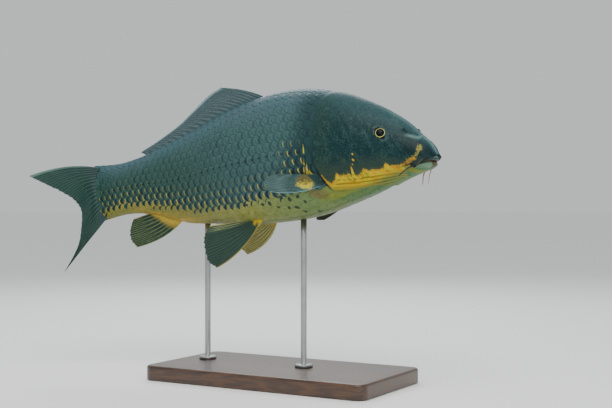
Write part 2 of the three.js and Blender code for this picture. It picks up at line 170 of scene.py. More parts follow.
body = {
    "length": 0.54,
    "snout": (0.232, -0.022, 0.325),
    "noseUp": 7.2,                  # degrees
    "headYaw": -8.2,
    "bendStart": 0.25,
    "bendRate": 9.2,
    "bendGrowth": 19.0,
    "axisReach": 1.3,
    "axisSteps": 300,
    "noseRounding": 0.03,
    "backPinch": 0.16,
    "bellyFill": 0.12,
}
topAt = smoothLine([
    (0, -0.05), (0.015, -0.025), (0.037, -0.006), (0.068, 0.028), (0.115, 0.064), (0.168, 0.096),
    (0.237, 0.13), (0.323, 0.156), (0.41, 0.167), (0.5, 0.163), (0.6, 0.144), (0.7, 0.115),
    (0.8, 0.087), (0.87, 0.068), (0.93, 0.059), (1, 0.062),
])
bottomAt = smoothLine([
    (0, -0.072), (0.02, -0.084), (0.07, -0.096), (0.125, -0.11), (0.185, -0.124), (0.255, -0.139),
    (0.33, -0.153), (0.42, -0.158), (0.52, -0.154), (0.62, -0.142), (0.72, -0.13), (0.78, -0.115),
    (0.85, -0.09), (0.92, -0.082), (1, -0.093),
])
halfWidthAt = smoothLine([
    (0, 0.03), (0.03, 0.038), (0.07, 0.048), (0.12, 0.06), (0.2, 0.08), (0.28, 0.092),
    (0.4, 0.097), (0.52, 0.09), (0.64, 0.072), (0.76, 0.05), (0.88, 0.031), (0.95, 0.0225),
    (1, 0.009),
])
levelAt = smoothLine([
    (0, -0.062), (0.06, -0.045), (0.15, -0.02), (0.35, -0.005), (0.7, -0.004), (1, -0.012),
])


def headingAt(along):
    # the yaw of the head, growing with the distance behind bendStart
    t = np.clip((along - body["bendStart"]) / (1 - body["bendStart"]), 0, 1)
    return np.radians(body["headYaw"] + body["bendRate"] * t + body["bendGrowth"] * t * t)


axisStep = body["axisReach"] / body["axisSteps"]
axisHeading = headingAt((np.arange(body["axisSteps"]) + 0.5) * axisStep)
axisAlong = np.arange(body["axisSteps"] + 1) * axisStep
axisX = np.append(0, -np.cumsum(np.cos(axisHeading)) * axisStep)
axisY = np.append(0, -np.cumsum(np.sin(axisHeading)) * axisStep)


def fishPoint(along, side, up):
    # the long axis at along, moved sideways across its heading, tilted by noseUp at the snout
    heading = headingAt(along)
    x = np.interp(along, axisAlong, axisX) - side * np.sin(heading) - np.minimum(along, 0)
    y = np.interp(along, axisAlong, axisY) + side * np.cos(heading)
    tilt = math.radians(body["noseUp"])
    level = x * math.cos(tilt) - up * math.sin(tilt)
    height = x * math.sin(tilt) + up * math.cos(tilt)
    return np.stack([level, y, height], -1) * body["length"] + np.array(body["snout"])


def sectionAt(along, angle):
    # two half ellipses that meet at the widest level, the upper one pinched toward the back
    nose = 1 - np.minimum(along / body["noseRounding"], 1)
    roundness = np.sqrt(np.maximum(1 - nose * nose, 0))
    upright = np.cos(angle)
    level = levelAt(along)
    height = np.where(upright > 0, topAt(along) - level, level - bottomAt(along))
    above = 1 - body["backPinch"] * upright ** 2
    below = 1 + body["bellyFill"] * upright ** 2
    side = halfWidthAt(along) * roundness * np.where(upright > 0, above, below) * np.sin(angle)
    return side, level + height * roundness * upright


def outlinePlace(along, angle):
    # along, side and up of a point of the body's outline
    side, up = sectionAt(along, angle)
    return np.stack([along, side, up], -1)


def bodyPoint(along, angle, lift=0):
    # the body's surface at an angle from its top, moved out along its normal by lift in metres
    small = 1e-3
    point, left, right = (fishPoint(along, *sectionAt(along, angle + turn)) for turn in (0, small, -small))
    behind = fishPoint(along + small, *sectionAt(along + small, angle))
    ahead = fishPoint(along - small, *sectionAt(np.maximum(along - small, 1e-4), angle))
    normal = unit(np.cross(left - right, behind - ahead))
    return point + normal * np.asarray(lift)[..., None]


# The body unrolled: how far round from the back each degree is, in metres

girth = {"firstAlong": 0.002, "rows": 260, "degrees": 180}
girthAlong = np.linspace(girth["firstAlong"], 1, girth["rows"])
girthAngle = np.linspace(0, math.pi, girth["degrees"] + 1)
girthSide, girthUp = sectionAt(girthAlong[:, None], girthAngle[None, :])
girthStep = np.hypot(np.diff(girthSide, axis=1), np.diff(girthUp, axis=1)) * body["length"]
girthArc = np.pad(np.cumsum(girthStep, axis=1), ((0, 0), (1, 0)))
girthShare = np.linspace(0, 1, girth["degrees"] + 1)
girthAngleOfShare = np.array([
    np.interp(girthShare * arc[-1], arc, girthAngle) for arc in girthArc
])


def readTable(table, along, column):
    # bilinear reading of a table of the body, with rows from snout to tail
    row = (along - girthAlong[0]) / (girthAlong[1] - girthAlong[0])
    row = np.clip(row, 0, table.shape[0] - 1.001)
    column = np.clip(column, 0, table.shape[1] - 1.001)
    i, j = row.astype(int), column.astype(int)
    s, t = row - i, column - j
    near = table[i, j] * (1 - t) + table[i, j + 1] * t
    far = table[i + 1, j] * (1 - t) + table[i + 1, j + 1] * t
    return near * (1 - s) + far * s


def halfGirthAt(along):
    return np.interp(along, girthAlong, girthArc[:, -1])


def degreesFromBack(angle):
    return np.degrees(np.abs((angle + math.pi) % (2 * math.pi) - math.pi))


def arcAt(along, angle):
    # metres round the body from the back, the same on both sides
    return readTable(girthArc, along, degreesFromBack(angle))


def angleAt(along, arc):
    # the angle from the top that lies arc metres round, past the back or the belly as well
    half = halfGirthAt(along)
    past = arc > half
    inside = np.where(past, 2 * half - arc, np.abs(arc))
    angle = readTable(girthAngleOfShare, along, inside / half * girth["degrees"])
    return np.where(past, 2 * math.pi - angle, np.where(arc < 0, -angle, angle))


def unrolled(places):
    # places given as along and degrees from the top, as points of the unrolled body in metres
    along, degrees = np.array(places, float).T
    return np.stack([along * body["length"], arcAt(along, np.radians(degrees))], -1)


def offsets(along, angle, centre):
    # millimetres behind and below a point of the unrolled body
    return (along * body["length"] - centre[0]) * 1000, (arcAt(along, angle) - centre[1]) * 1000


def distanceBehind(along, angle, line):
    # signed distance in millimetres to a line on the unrolled body, positive behind or below it
    x = (along * body["length"])[..., None]
    y = arcAt(along, angle)[..., None]
    start, way = line[:-1], np.diff(line, axis=0)
    px, py = x - start[:, 0], y - start[:, 1]
    t = np.clip((px * way[:, 0] + py * way[:, 1]) / (way ** 2).sum(1), 0, 1)
    distance = np.hypot(px - t * way[:, 0], py - t * way[:, 1])
    nearest = distance.argmin(-1)[..., None]
    side = np.sign(way[:, 1] * px - way[:, 0] * py)
    return np.take_along_axis(distance * side, nearest, -1)[..., 0] * 1000


def belowEdge(along, arc, edgeAt):
    # millimetres below an edge that is given in degrees from the back
    return (arc - arcAt(along, np.radians(edgeAt(along)))) * 1000


def spotField(along, angle, place, reachAlong, reachAround):
    # 1 in the middle of an oval of two half sizes in millimetres, 0 outside it
    x, y = offsets(along, angle, unrolled([place])[0])
    return 1 - smoothStep(np.hypot(x / reachAlong, y / reachAround), 0.35, 1)


# Making meshes

bakeMap = {"left": 0.01, "right": 0.99, "top": 0.02, "bottom": 0.98, "tips": (0.01, 0.99), "hidden": 0.002}


def addPiece(name, vertices, groups, maps, fields):
    # a mesh from a group of quads and a group of triangles, each with its corners in the bake map,
    # all turned so that the faces look outward
    vertices = vertices.reshape(-1, 3)
    volume = 0
    for faces in groups:
        for last in range(2, faces.shape[1]):
            a, b, c = vertices[faces[:, [0, last - 1, last]].T]
            volume = volume + (np.cross(a, b) * c).sum()
    if volume < 0:
        groups = [faces[:, ::-1] for faces in groups]
        maps = [corners[:, ::-1] for corners in maps]
    loops = np.concatenate([faces.ravel() for faces in groups])
    sizes = np.concatenate([np.full(len(faces), faces.shape[1]) for faces in groups])
    mesh = bpy.data.meshes.new(name)
    mesh.vertices.add(len(vertices))
    mesh.vertices.foreach_set("co", vertices.ravel())
    mesh.loops.add(len(loops))
    mesh.loops.foreach_set("vertex_index", loops)
    mesh.polygons.add(len(sizes))
    mesh.polygons.foreach_set("loop_start", np.cumsum(sizes) - sizes)
    mesh.update(calc_edges=True)
    mesh.polygons.foreach_set("use_smooth", np.ones(len(sizes), bool))
    for key, values in fields.items():
        wide = values.size == 3 * len(vertices)
        attribute = mesh.attributes.new(key, "FLOAT_VECTOR" if wide else "FLOAT", "POINT")
        attribute.data.foreach_set("vector" if wide else "value", np.asarray(values, float).ravel())
    layer = mesh.uv_layers.new(name="OFBake")
    layer.data.foreach_set("uv", np.concatenate([corners.ravel() for corners in maps]))
    return addToScene(name, mesh)


def ringGrid(rows, columns):
    # the quads between rings of points that close round, and their corners in the bake map
    index = np.arange(rows * columns).reshape(rows, columns)
    beside = np.roll(index, -1, axis=1)
    quads = np.stack([index[:-1], beside[:-1], beside[1:], index[1:]], -1).reshape(-1, 4)
    u = np.linspace(bakeMap["left"], bakeMap["right"], columns + 1)
    v = np.linspace(bakeMap["top"], bakeMap["bottom"], rows)
    corners = np.stack(np.meshgrid(u, v), -1)
    low, high = corners[:, :-1], corners[:, 1:]
    quadMap = np.stack([low[:-1], high[:-1], high[1:], low[1:]], -2).reshape(-1, 4, 2)
    return quads, quadMap, low, high


def closedGrid(name, points, fields, firstPole, lastPole):
    # rings of points that close round and at both ends; fields hold one value for each point
    rows, columns = points.shape[:2]
    quads, quadMap, low, high = ringGrid(rows, columns)
    ring = np.arange(columns)
    count = rows * columns
    firstFan = np.stack([np.roll(ring, -1), ring, np.full(columns, count)], -1)
    lastFan = firstFan[:, [1, 0, 2]] + [count - columns, count - columns, 1]
    tips = []
    for level in bakeMap["tips"]:
        tips.append(np.stack([(low[0, :, 0] + high[0, :, 0]) / 2, np.full(columns, level)], -1))
    fanMap = np.stack([[high[0], low[0], tips[0]], [low[-1], high[-1], tips[1]]])
    padded = {}
    for key, values in fields.items():
        values = np.broadcast_to(values, (rows, columns) + values.shape[2:])
        ends = np.stack([values[0].mean(axis=0), values[-1].mean(axis=0)])
        padded[key] = np.concatenate([values.reshape((count,) + values.shape[2:]), ends])
    vertices = np.vstack([points.reshape(-1, 3), firstPole, lastPole])
    faces = [quads, np.vstack([firstFan, lastFan])]
    return addPiece(name, vertices, faces, [quadMap, fanMap.swapaxes(1, 2).reshape(-1, 3, 2)], padded)


def fanGrid(name, points, fields):
    # rings closed by zipping their two faces together at the root and along the margin
    rows, ring = points.shape[:2]
    far = ring // 2
    quads, quadMap, _, _ = ringGrid(rows, ring)
    i = np.arange(1, far - 1)
    zipped = np.stack([i, i + 1, ring - i - 1, ring - i], -1)
    tips = np.array([[0, 1, ring - 1], [far - 1, far, far + 1]])
    margin = (rows - 1) * ring
    allQuads = np.vstack([quads, zipped[:, ::-1], zipped + margin])
    triangles = np.vstack([tips[:, ::-1], tips + margin])
    zipMap = np.full((2 * len(zipped), 4, 2), bakeMap["hidden"])
    tipMap = np.full((len(triangles), 3, 2), bakeMap["hidden"])
    return addPiece(name, points, [allQuads, triangles], [np.concatenate([quadMap, zipMap]), tipMap], fields)


# Shader nodes

class Wire:
    # one socket of a material; arithmetic on it adds Math nodes

    def __init__(self, tree, socket=None):
        self.tree = tree
        self.socket = socket

    def node(self, kind, settings=None, inputs=None, output=0):
        made = self.tree.nodes.new(kind)
        for key, value in (settings or {}).items():
            setattr(made, key, value)
        for key, value in (inputs or {}).items():
            if isinstance(value, Wire):
                self.tree.links.new(value.socket, made.inputs[key])
            else:
                made.inputs[key].default_value = value
        return Wire(self.tree, made.outputs[output])

    def maths(self, operation, *values):
        return self.node("ShaderNodeMath", {"operation": operation}, dict(enumerate(values)))

    def __add__(self, other):
        return self.maths("ADD", self, other)

    def __sub__(self, other):
        return self.maths("SUBTRACT", self, other)

    def __rsub__(self, other):
        return self.maths("SUBTRACT", other, self)

    def __mul__(self, other):
        return self.maths("MULTIPLY", self, other)

    def __truediv__(self, other):
        return self.maths("DIVIDE", self, other)

    def __pow__(self, other):
        return self.maths("POWER", self, other)

    def __abs__(self):
        return self.maths("ABSOLUTE", self)

    __radd__ = __add__
    __rmul__ = __mul__


def sine(value):
    return value.maths("SINE", value)


def cosine(value):
    return value.maths("COSINE", value)


def fade(value, low, high):
    # 0 below low, 1 above high
    settings = {"interpolation_type": "SMOOTHSTEP"}
    inputs = {"Value": value, "From Min": low, "From Max": high}
    return value.node("ShaderNodeMapRange", settings, inputs)


def span(value, low, full, last, high):
    # 1 from full to last, and 0 below low and above high
    return fade(value, low, full) * (1 - fade(value, last, high))


def asColour(value):
    # a name from the markings or a screen colour of three values from 0 to 255, as a linear colour;
    # anything else passes as it is
    if isinstance(value, str):
        value = markings[value]
    if isinstance(value, Wire) or len(value) > 3:
        return value
    share = np.array(value) / 255
    linear = np.where(share < 0.04045, share / 12.92, ((share + 0.055) / 1.055) ** 2.4)
    return (*linear.tolist(), 1.0)


def blend(factor, first, second):
    # the first colour where factor is 0, the second where it is 1
    inputs = {0: factor, 6: asColour(first), 7: asColour(second)}
    return factor.node("ShaderNodeMix", {"data_type": "RGBA"}, inputs, 2)


def paint(colour, *coats):
    # lays each coat's tone over the colour below by the coat's factor
    for factor, top in coats:
        colour = blend(factor, colour, top)
    return colour


def field(nodes, name, output="Fac"):
    return nodes.node("ShaderNodeAttribute", {"attribute_name": name}, None, output)


def objectPlace(nodes):
    return nodes.node("ShaderNodeTexCoord", None, None, "Object")


def axisOf(vector, number):
    return vector.node("ShaderNodeSeparateXYZ", None, {0: vector}, number)


def grain(vector, scale, detail=3.0, roughness=0.55):
    # fractal noise from 0 to 1
    inputs = {"Vector": vector, "Scale": scale, "Detail": detail, "Roughness": roughness}
    return vector.node("ShaderNodeTexNoise", None, inputs, "Fac")


def stretched(vector, x, y, z):
    return vector.node("ShaderNodeMapping", None, {"Vector": vector, "Scale": (x, y, z)})


def newSurface(name, coat=0.0, coatRoughness=0.25, shine=0.5, roughness=0.5, metallic=0.0):
    # a material whose Principled shader has the given constant values
    material = bpy.data.materials.new(name)
    material.use_nodes = True
    values = {"Coat Weight": coat, "Coat Roughness": coatRoughness, "Specular IOR Level": shine,
              "Roughness": roughness, "Metallic": metallic}
    for key, value in values.items():
        material.node_tree.nodes["Principled BSDF"].inputs[key].default_value = value
    return material, Wire(material.node_tree)


def connect(material, colour, roughness=None, height=None, strength=0.5, distance=0.001, alpha=None):
    # colour, roughness and alpha into the shader, and height as a bump of distance metres
    tree = material.node_tree
    wires = {"Base Color": colour, "Roughness": roughness, "Alpha": alpha}
    if height is not None:
        inputs = {"Height": height, "Strength": strength, "Distance": distance}
        wires["Normal"] = height.node("ShaderNodeBump", None, inputs)
    for key, wire in wires.items():
        if wire is not None:
            tree.links.new(wire.socket, tree.nodes["Principled BSDF"].inputs[key])


# The markings, read from fields that skin and scales share

markings = {
    "slate": (50, 82, 84), "slateLight": (66, 100, 98), "slateGreen": (46, 78, 66),
    # sheen is the tone of the painted highlight on the snout
    "back": (62, 94, 104), "mist": (76, 84, 98), "sheen": (116, 152, 146),
    "belly": (130, 132, 62), "bellyPale": (148, 148, 84), "bellyGreen": (96, 128, 82),
    "bellyDark": (82, 90, 52), "bellySpot": (34, 48, 42), "bellyRear": (98, 96, 42),
    # headTopReflection: the tone of the head's top, with a painted reflection of the light from above
    "head": (10, 45, 47), "headTopReflection": (36, 72, 76), "headGreen": (28, 56, 48),
    # pit serves both the head's dark speckles and the painted shade on the snout's sides
    "bone": (52, 82, 82), "freckle": (68, 100, 94), "pit": (0, 20, 24), "olive": (42, 60, 48),
    "orange": (190, 146, 0), "yellow": (194, 176, 4), "amber": (172, 116, 20), "haze": (104, 104, 30),
    "throat": (122, 130, 48), "throatDark": (62, 70, 24), "throatGreen": (76, 108, 70),
    "gold": (184, 164, 54), "goldBelly": (186, 146, 40), "streak": (136, 98, 38),
    "streakPale": (152, 146, 58), "chin": (112, 120, 46), "brown": (112, 88, 46),
}

gillEdge = unrolled([
    (0.245, 0), (0.262, 19), (0.275, 36), (0.277, 55), (0.280, 71), (0.284, 89), (0.284, 102),
    (0.273, 114), (0.262, 127), (0.254, 137), (0.236, 141.5), (0.205, 144), (0.17, 149),
    (0.142, 158), (0.126, 169), (0.12, 180),
])
preopercle = unrolled([
    (0.222, 50), (0.198, 64), (0.186, 80), (0.181, 96), (0.174, 114), (0.158, 131), (0.13, 145),
    (0.1, 156),
])
flankEdge = smoothLine([
    (0.2, 145), (0.27, 129), (0.31, 125), (0.346, 125), (0.388, 128), (0.464, 127), (0.52, 131),
    (0.6, 134), (0.68, 134), (0.78, 131), (0.84, 133), (0.89, 131), (0.95, 133), (1, 139),
])
cheekEdge = smoothLine([
    (0.03, 112), (0.05, 117), (0.075, 117.5), (0.095, 119), (0.128, 122.5), (0.15, 121.5),
    (0.178, 124.5), (0.204, 123), (0.222, 121), (0.232, 120.5), (0.241, 124), (0.25, 126.5),
    (0.2575, 123.5), (0.264, 119.5), (0.271, 114.5), (0.3, 109),
])
# points of the orange field: where along, the height in millimetres and the half width
cheekSpikes = [
    (0.11, 4.6, 0.008), (0.164, 4.5, 0.011), (0.1915, 14, 0.0036), (0.203, 3.5, 0.006),
    (0.2315, 4.5, 0.006), (0.215, 2, 0.008),
]
# single marks: a place as along and degrees, and a size in millimetres
cheekDots = [((0.1831, 104), 2.6), ((0.1824, 96.6), 2.1), ((0.187, 109.5), 1.6)]
cheekLoops = [((0.178, 127), 3.2), ((0.165, 126.5), 3.4), ((0.2, 127.5), 3.6)]
bellySpots = [
    ((0.445, 134), 3), ((0.404, 129), 3), ((0.381, 133), 3.2), ((0.355, 132), 2.7),
    ((0.394, 143), 2.6), ((0.373, 145), 3), ((0.359, 154), 2.4), ((0.325, 162), 2.8),
    ((0.52, 133), 2.5), ((0.467, 134), 2.6), ((0.425, 140), 2.2), ((0.341, 140), 2.4),
]
throatLine = smoothLine([
    (0.03, 160), (0.076, 158), (0.092, 153), (0.13, 153), (0.18, 148), (0.225, 140), (0.26, 135.5),
    (0.3, 131),
])
snoutFold = unrolled([
    (0.034, 0), (0.0352, 14), (0.036, 26), (0.0385, 33.5), (0.0435, 38), (0.0545, 47), (0.0615, 53),
    (0.065, 66),
])
streakLine = unrolled([
    (0.028, 60), (0.0295, 72), (0.031, 81), (0.038, 93), (0.05, 108), (0.06, 117), (0.075, 122),
    (0.088, 126),
])
# gold strokes behind the gill cover: the upper end, the lower end and the half width there
goldStrokes = [
    ((0.3052, 99), (0.309, 112.5), 0.0016), ((0.2995, 104.5), (0.3, 114), 0.0022),
    ((0.3085, 82.5), (0.3095, 90.5), 0.0005), ((0.3105, 95), (0.3125, 101.5), 0.0007),
    ((0.3142, 103), (0.318, 111), 0.0008),
]
nostrilPlaces = [(0.0615, 39.5), (0.0685, 42)]
eyePlace = {"along": 0.1174, "up": 0.0103, "radius": 0.0088, "bulge": 0.0024}
eyeLevel = float(levelAt(eyePlace["along"]))
eyeUpright = (eyePlace["up"] - eyeLevel) / (float(topAt(eyePlace["along"])) - eyeLevel)
eyeAngle = math.acos(eyeUpright)


wetness = {"coat": 0.04, "roughness": 0.42, "roughnessSpread": 0.16}


def markingFields(along, angle):
    # every field that the markings read: distances in millimetres, and spots and lines from 0 to 1
    arc = arcAt(along, angle)
    degrees = degreesFromBack(angle)
    side = np.where(np.sin(angle) >= 0, 1, -1)
    gill = distanceBehind(along, angle, gillEdge)
    cheek = belowEdge(along, arc, cheekEdge)
    for place, height, width in cheekSpikes:
        cheek = cheek + height * np.maximum(1 - np.abs(along - place) / width, 0) ** 0.7
    front = (along - 0.052) * body["length"] * 1000 - np.maximum(degrees - 128, 0) * 0.35
    cheek = np.minimum(np.minimum(cheek, -gill), front)
    for place, reach in cheekDots:
        cheek = np.maximum(cheek, 10 * spotField(along, angle, place, reach, reach * 1.15) - 7)
    loops = []
    for place, reach in cheekLoops:
        away = np.hypot(*offsets(along, angle, unrolled([place])[0]))
        loops.append(dip(away - reach, 0.8))
    streak = distanceBehind(along, angle, streakLine)
    streakSize = 0.4 + 2.0 * smoothStep(degrees, 88, 70) + 1.1 * dip(degrees - 108, 11)
    fold = distanceBehind(along, angle, snoutFold)
    # a painted highlight along the top of the snout, where the light from above catches its outline
    ridgeHighlight = (1 - smoothStep(degrees, 8, 24)) * smoothStep(along, 0.0015, 0.006)
    ridgeHighlight = ridgeHighlight * (1 - 0.5 * smoothStep(along, 0.02, 0.04)) * (1 - smoothStep(along, 0.09, 0.14))
    spots = [spotField(along, angle, place, reach * 1.5, reach * 1.7) for place, reach in bellySpots]
    return {
        "place": np.stack([along * body["length"], arc * side, side * 0.01], -1),
        "round": degrees / 180,
        "gill": gill,
        "flank": belowEdge(along, arc, flankEdge),
        "cheek": cheek,
        "gold": spotField(along, angle, (0.328, 97), 30, 40),
        "loops": np.maximum.reduce(loops),
        "streak": 1 - smoothStep(np.abs(streak) - streakSize, -1.8, 2.2),
        # a painted shadow in the groove along the streak's lower edge
        "grooveShadow": dip(streak + streakSize + 0.8, 0.9) * smoothStep(degrees, 80, 95),
        "throat": belowEdge(along, arc, throatLine),
        "spots": np.maximum.reduce(spots),
        "brown": spotField(along, angle, (0.296, 134.5), 22, 14),
        "chin": spotField(along, angle, (0.053, 153), 13, 11),
        # pale: the painted highlight on the snout's fold and along the top of the snout
        "pale": np.maximum(dip(fold, 1.5) * (1 - smoothStep(degrees, 44, 58)), ridgeHighlight * 0.8),
        "snout": 1 - smoothStep(along, 0.02, 0.1),
    }


def markingColour(nodes, flankShift=None):
    # the body is slate above the flank line, greener to the rear and bluer on the back, and olive
    # below it, green to the front, golden to the rear and with dark spots; the head is a darker,
    # freckled slate, paler and bluer toward its top as a painted reflection of the light from above
    # and darker on the snout's sides as painted shade, with an olive lower cheek, an orange field
    # below the cheek line that is banded with dark lines toward the throat, a green-yellow throat and
    # chin, a broken streak from nose to mouth with a painted shadow in the groove below it, and a
    # painted highlight on the snout's fold and along its top; gill is the distance behind the gill
    # cover, and joins the two; every edge is a fade of a distance or an angle that noise makes ragged
    place = field(nodes, "place", "Vector")
    lengthwise, arc = axisOf(place, 0), abs(axisOf(place, 1))
    degrees = field(nodes, "round") * 180
    gill, flank, cheek, throat, streak, brown = (
        field(nodes, name) for name in ("gill", "flank", "cheek", "throat", "streak", "brown")
    )
    solid = objectPlace(nodes)
    broad, middle, fine, tiny = grain(place, 22), grain(place, 95), grain(solid, 430, 2), grain(solid, 900, 2)
    broadOff, middleOff, fineOff, tinyOff = (noise - 0.5 for noise in (broad, middle, fine, tiny))

    upper = paint(
        blend(broad, "slate", "slateLight"),
        (fade(lengthwise, 0.25, 0.42) * fade(degrees, 20, 90) * (0.45 + broad * 0.5), "slateGreen"),
        (fade(degrees, 70, 15) * 0.8, "back"),
        (fade(broad + middleOff * 0.5, 0.45, 0.75) * fade(degrees, 75, 35) * 0.35, "mist"),
    )
    brownness = fade(brown + middleOff * 0.9, 0.1, 1.1) * 0.6
    rump = span(lengthwise, 0.35, 0.4, 0.46, 0.5) * fade(degrees, 138, 158)
    under = paint(
        blend(fade(middle, 0.35, 0.7), "belly", "bellyPale"),
        ((1 - fade(lengthwise, 0.18, 0.3)) * 0.7 + broadOff * 0.5, "bellyGreen"),
        (fade(degrees, 150, 176) * 0.6, "bellyDark"),
        (brownness, "brown"),
        (fade(field(nodes, "spots") + fineOff * 0.3, 0.3, 0.6) * 0.9, "bellySpot"),
        (fade(lengthwise, 0.28, 0.4) * (0.55 + middleOff * 0.7), "bellyRear"),
        (rump * (0.45 + middleOff * 1.2), "goldBelly"),
        ((1 - fade(flank, 1, 6)) * fade(lengthwise, 0.36, 0.46) * 0.3, "gold"),
    )
    depth = flank + middleOff * 6
    if flankShift is not None:
        depth = depth + flankShift * fade(lengthwise, 0.19, 0.225)
    breast = paint(
        blend(fade(degrees + middleOff * 14, 146, 162), "throat", "throatGreen"),
        (fade(middle, 0.3, 0.7) * 0.4, "bellyGreen"),
        (brownness, "brown"),
    )
    fore = blend(fade(degrees + middleOff * 8, 128, 137), upper, breast)
    behind = (1 - fade(gill + broadOff * 22, 8, 54)) * span(degrees, 8, 34, 110, 122)
    trunk = paint(
        blend(fade(depth, -1.6, 1.6), upper, under),
        (1 - fade(gill + middleOff * 12, 10, 36), fore),
        (behind * 0.8, "head"),
    )
    strokeTone = blend(fine, "gold", "yellow")
    for first, last, half in goldStrokes:
        start, end = unrolled([first, last]).tolist()
        down = (arc - start[1]) / (end[1] - start[1])
        away = abs(lengthwise - down * (end[0] - start[0]) - start[0]) + middleOff * 0.0012
        stroke = 1 - fade(away - fade(down, 0, 0.9) * half, 0, 0.0007)
        trunk = blend(stroke * span(down, -0.05, 0.1, 0.9, 1.1) * 0.9, trunk, strokeTone)

    bands = fade(sine(throat + gill * 0.25 + middleOff * 3.6 + broadOff * 4), -0.4, 0.9)
    throatTone = blend(middle * 0.5 + (1 - fade(lengthwise, 0.075, 0.125)) * 0.5, "throat", "throatGreen")
    faded = fade(throat + middleOff * 9 + (1 - fade(lengthwise, 0.055, 0.11)) * 7, -9, 3)
    glow = paint(
        blend(fade(middle + fineOff * 0.4, 0.34, 0.66), "orange", "yellow"),
        (fade(cheek + middleOff * 5, 4.5, 0.6) * 0.55, "amber"),
        (bands * fade(cheek, 4, 8) * fade(lengthwise, 0.04, 0.075) * 0.6, "throatDark"),
        (faded * 0.85, blend(bands * 0.7, throatTone, "throatDark")),
        (field(nodes, "loops") * fade(fine, 0.25, 0.5) * 0.75, "throatDark"),
    )
    torn = grain(stretched(place, 1.6, 0.5, 1), 210, 2) - 0.5
    ragged = cheek - (1 - fade(lengthwise, 0.03, 0.052)) * 2.6 + fineOff * 3.4 + torn * 4.4
    haze = fade(ragged + middleOff * 4, -5, 0.5) * fade(lengthwise, 0.03, 0.12)
    nearChin = 1 - fade(lengthwise + middleOff * 0.012, 0.036, 0.044)
    core = fade(degrees + middleOff * 40, 88, 104)
    streakTone = blend(core, "streakPale", blend(fade(middle, 0.35, 0.65), "streak", "orange"))
    patchy = fade(streak * 1.2 + fineOff * 1.7 + tinyOff * 2.0, 0.3, 0.9) * fade(streak, 0.05, 0.3)
    band = span(lengthwise, 0.122, 0.136, 0.148, 0.158) * fade(degrees, 20, 50)
    # painted shade that darkens the sides of the snout
    muzzleShade = fade(field(nodes, "snout"), 0.05, 0.6) * span(degrees, 28, 46, 84, 104)
    head = paint(
        # paler and bluer toward the top of the head: a painted reflection of the light from above
        blend(fade(degrees, 66, 16), "head", "headTopReflection"),
        (band * (0.3 + broad * 0.5), "headGreen"),
        (fade(middle + fineOff * 0.5, 0.42, 0.8) * 0.34, "bone"),
        (fade(fine + tinyOff * 0.5, 0.54, 0.74) * (0.06 + middle * 0.42), "freckle"),
        (fade(fine + tinyOff * 0.4, 0.46, 0.3) * 0.6, "pit"),
        (fade(degrees + middleOff * 30, 92, 116) * 0.7, "olive"),
        # painted shade on the snout's sides
        (muzzleShade * 0.45, "pit"),
        (haze * fade(tiny, 0.3, 0.65) * 0.6, "haze"),
        (fade(ragged, -0.9, 1.1), glow),
        (fade(throat + middleOff * 8, 1, 8), throatTone),
        (nearChin * fade(degrees + middleOff * 10, 133, 143), "throatGreen"),
        (fade(field(nodes, "chin") + middleOff * 0.7, 0.1, 0.85), "chin"),
        # the painted shadow in the groove below the streak
        (field(nodes, "grooveShadow") * (1 - fade(cheek, 3, 6)), "head"),
        (patchy * (core * 0.3 + fade(fine, 0.2, 0.6) * 0.7), streakTone),
        # the painted highlight on the snout's fold and top
        (field(nodes, "pale") * (0.35 + fine * 0.4), "sheen"),
    )
    width = (1 - fade(degrees, 30, 62)) * 16 + 0.7
    edge = fade(gill + middleOff * width * 1.2, width * -1, width)
    return blend(edge, head, trunk), place, middle, fine


# The skin: one surface from inside the mouth over the lips, the head and the body to the tail

skinShape = {
    "columns": 256,
    "mouthRows": 4,                 # rows between two key rings of the mouth
    "faceRows": 60,
    "headRows": 150,
    "trunkRows": 118,
    "tailRows": 7,
    "settleRows": 6,                # rows behind the lips over which the relief sets in
    "faceEnd": 0.09,
    "headEnd": 0.3,
    "tailBulge": 0.008,
    "headInset": 0.25,              # millimetres inside the frame's outline
    "trunkInset": 1.25,
    "slitDepth": 2.1,
    "slitRest": 1.05,               # what is left of it behind the slit
}
# heights and depths on the head, in millimetres
headForms = {
    "coverRidge": 0.26,
    "coverGroove": 0.2,
    "coverRays": 0.05,
    "throatFolds": 0.4,
    "socketDepth": 3.4,
    "socketRim": 0.4,
    "socketGroove": 0.2,
    "cheekHollow": 0.35,
    "nostrils": ((-1, 1.1), (1, 0.9)),  # ahead or behind the flap, and the depth
    "nostrilRim": 0.4,
    "nostrilFlap": 2.9,
    "snoutFold": 0.4,
    "snoutGroove": 0.45,
    "muzzleGroove": 0.45,
    "muzzleRidge": 0.25,
    "unevenness": 0.07,
}
# pairs are for the upper and the lower lip
mouth = {
    "cornerAngle": 136.0,
    "corner": (0.0465, 0.0325, -0.079),
    "frontAlong": (0.0128, 0.0205),
    "frontUp": (-0.0615, -0.0745),
    "radius": (0.006, 0.0072),
    "arch": (1.5, 2.0),             # how long the lip stays high before it drops to its corner
    "lipTaper": 0.55,
    "lipTurns": (-45, 0, 45, 90, 135, 170),
    "level": -0.0775,
    "throatAlong": 0.068,
}
rimAlongAt = smoothLine([
    (0, 0.003), (34, 0.0032), (68, 0.012), (102, 0.03), (136, 0.049), (158, 0.035), (180, 0.03),
])
rimDegreesAt = smoothLine([
    (0, 0), (34, 84), (68, 106), (102, 119), (136, 136), (147, 139.5), (158, 146), (169, 160),
    (180, 180),
])


def mouthShare(degrees):
    # whether an angle belongs to the upper lip, and its share of the way to the mouth's corner
    corner = mouth["cornerAngle"]
    isUpper = degrees <= corner
    return isUpper, np.where(isUpper, degrees / corner, (180 - degrees) / (180 - corner))


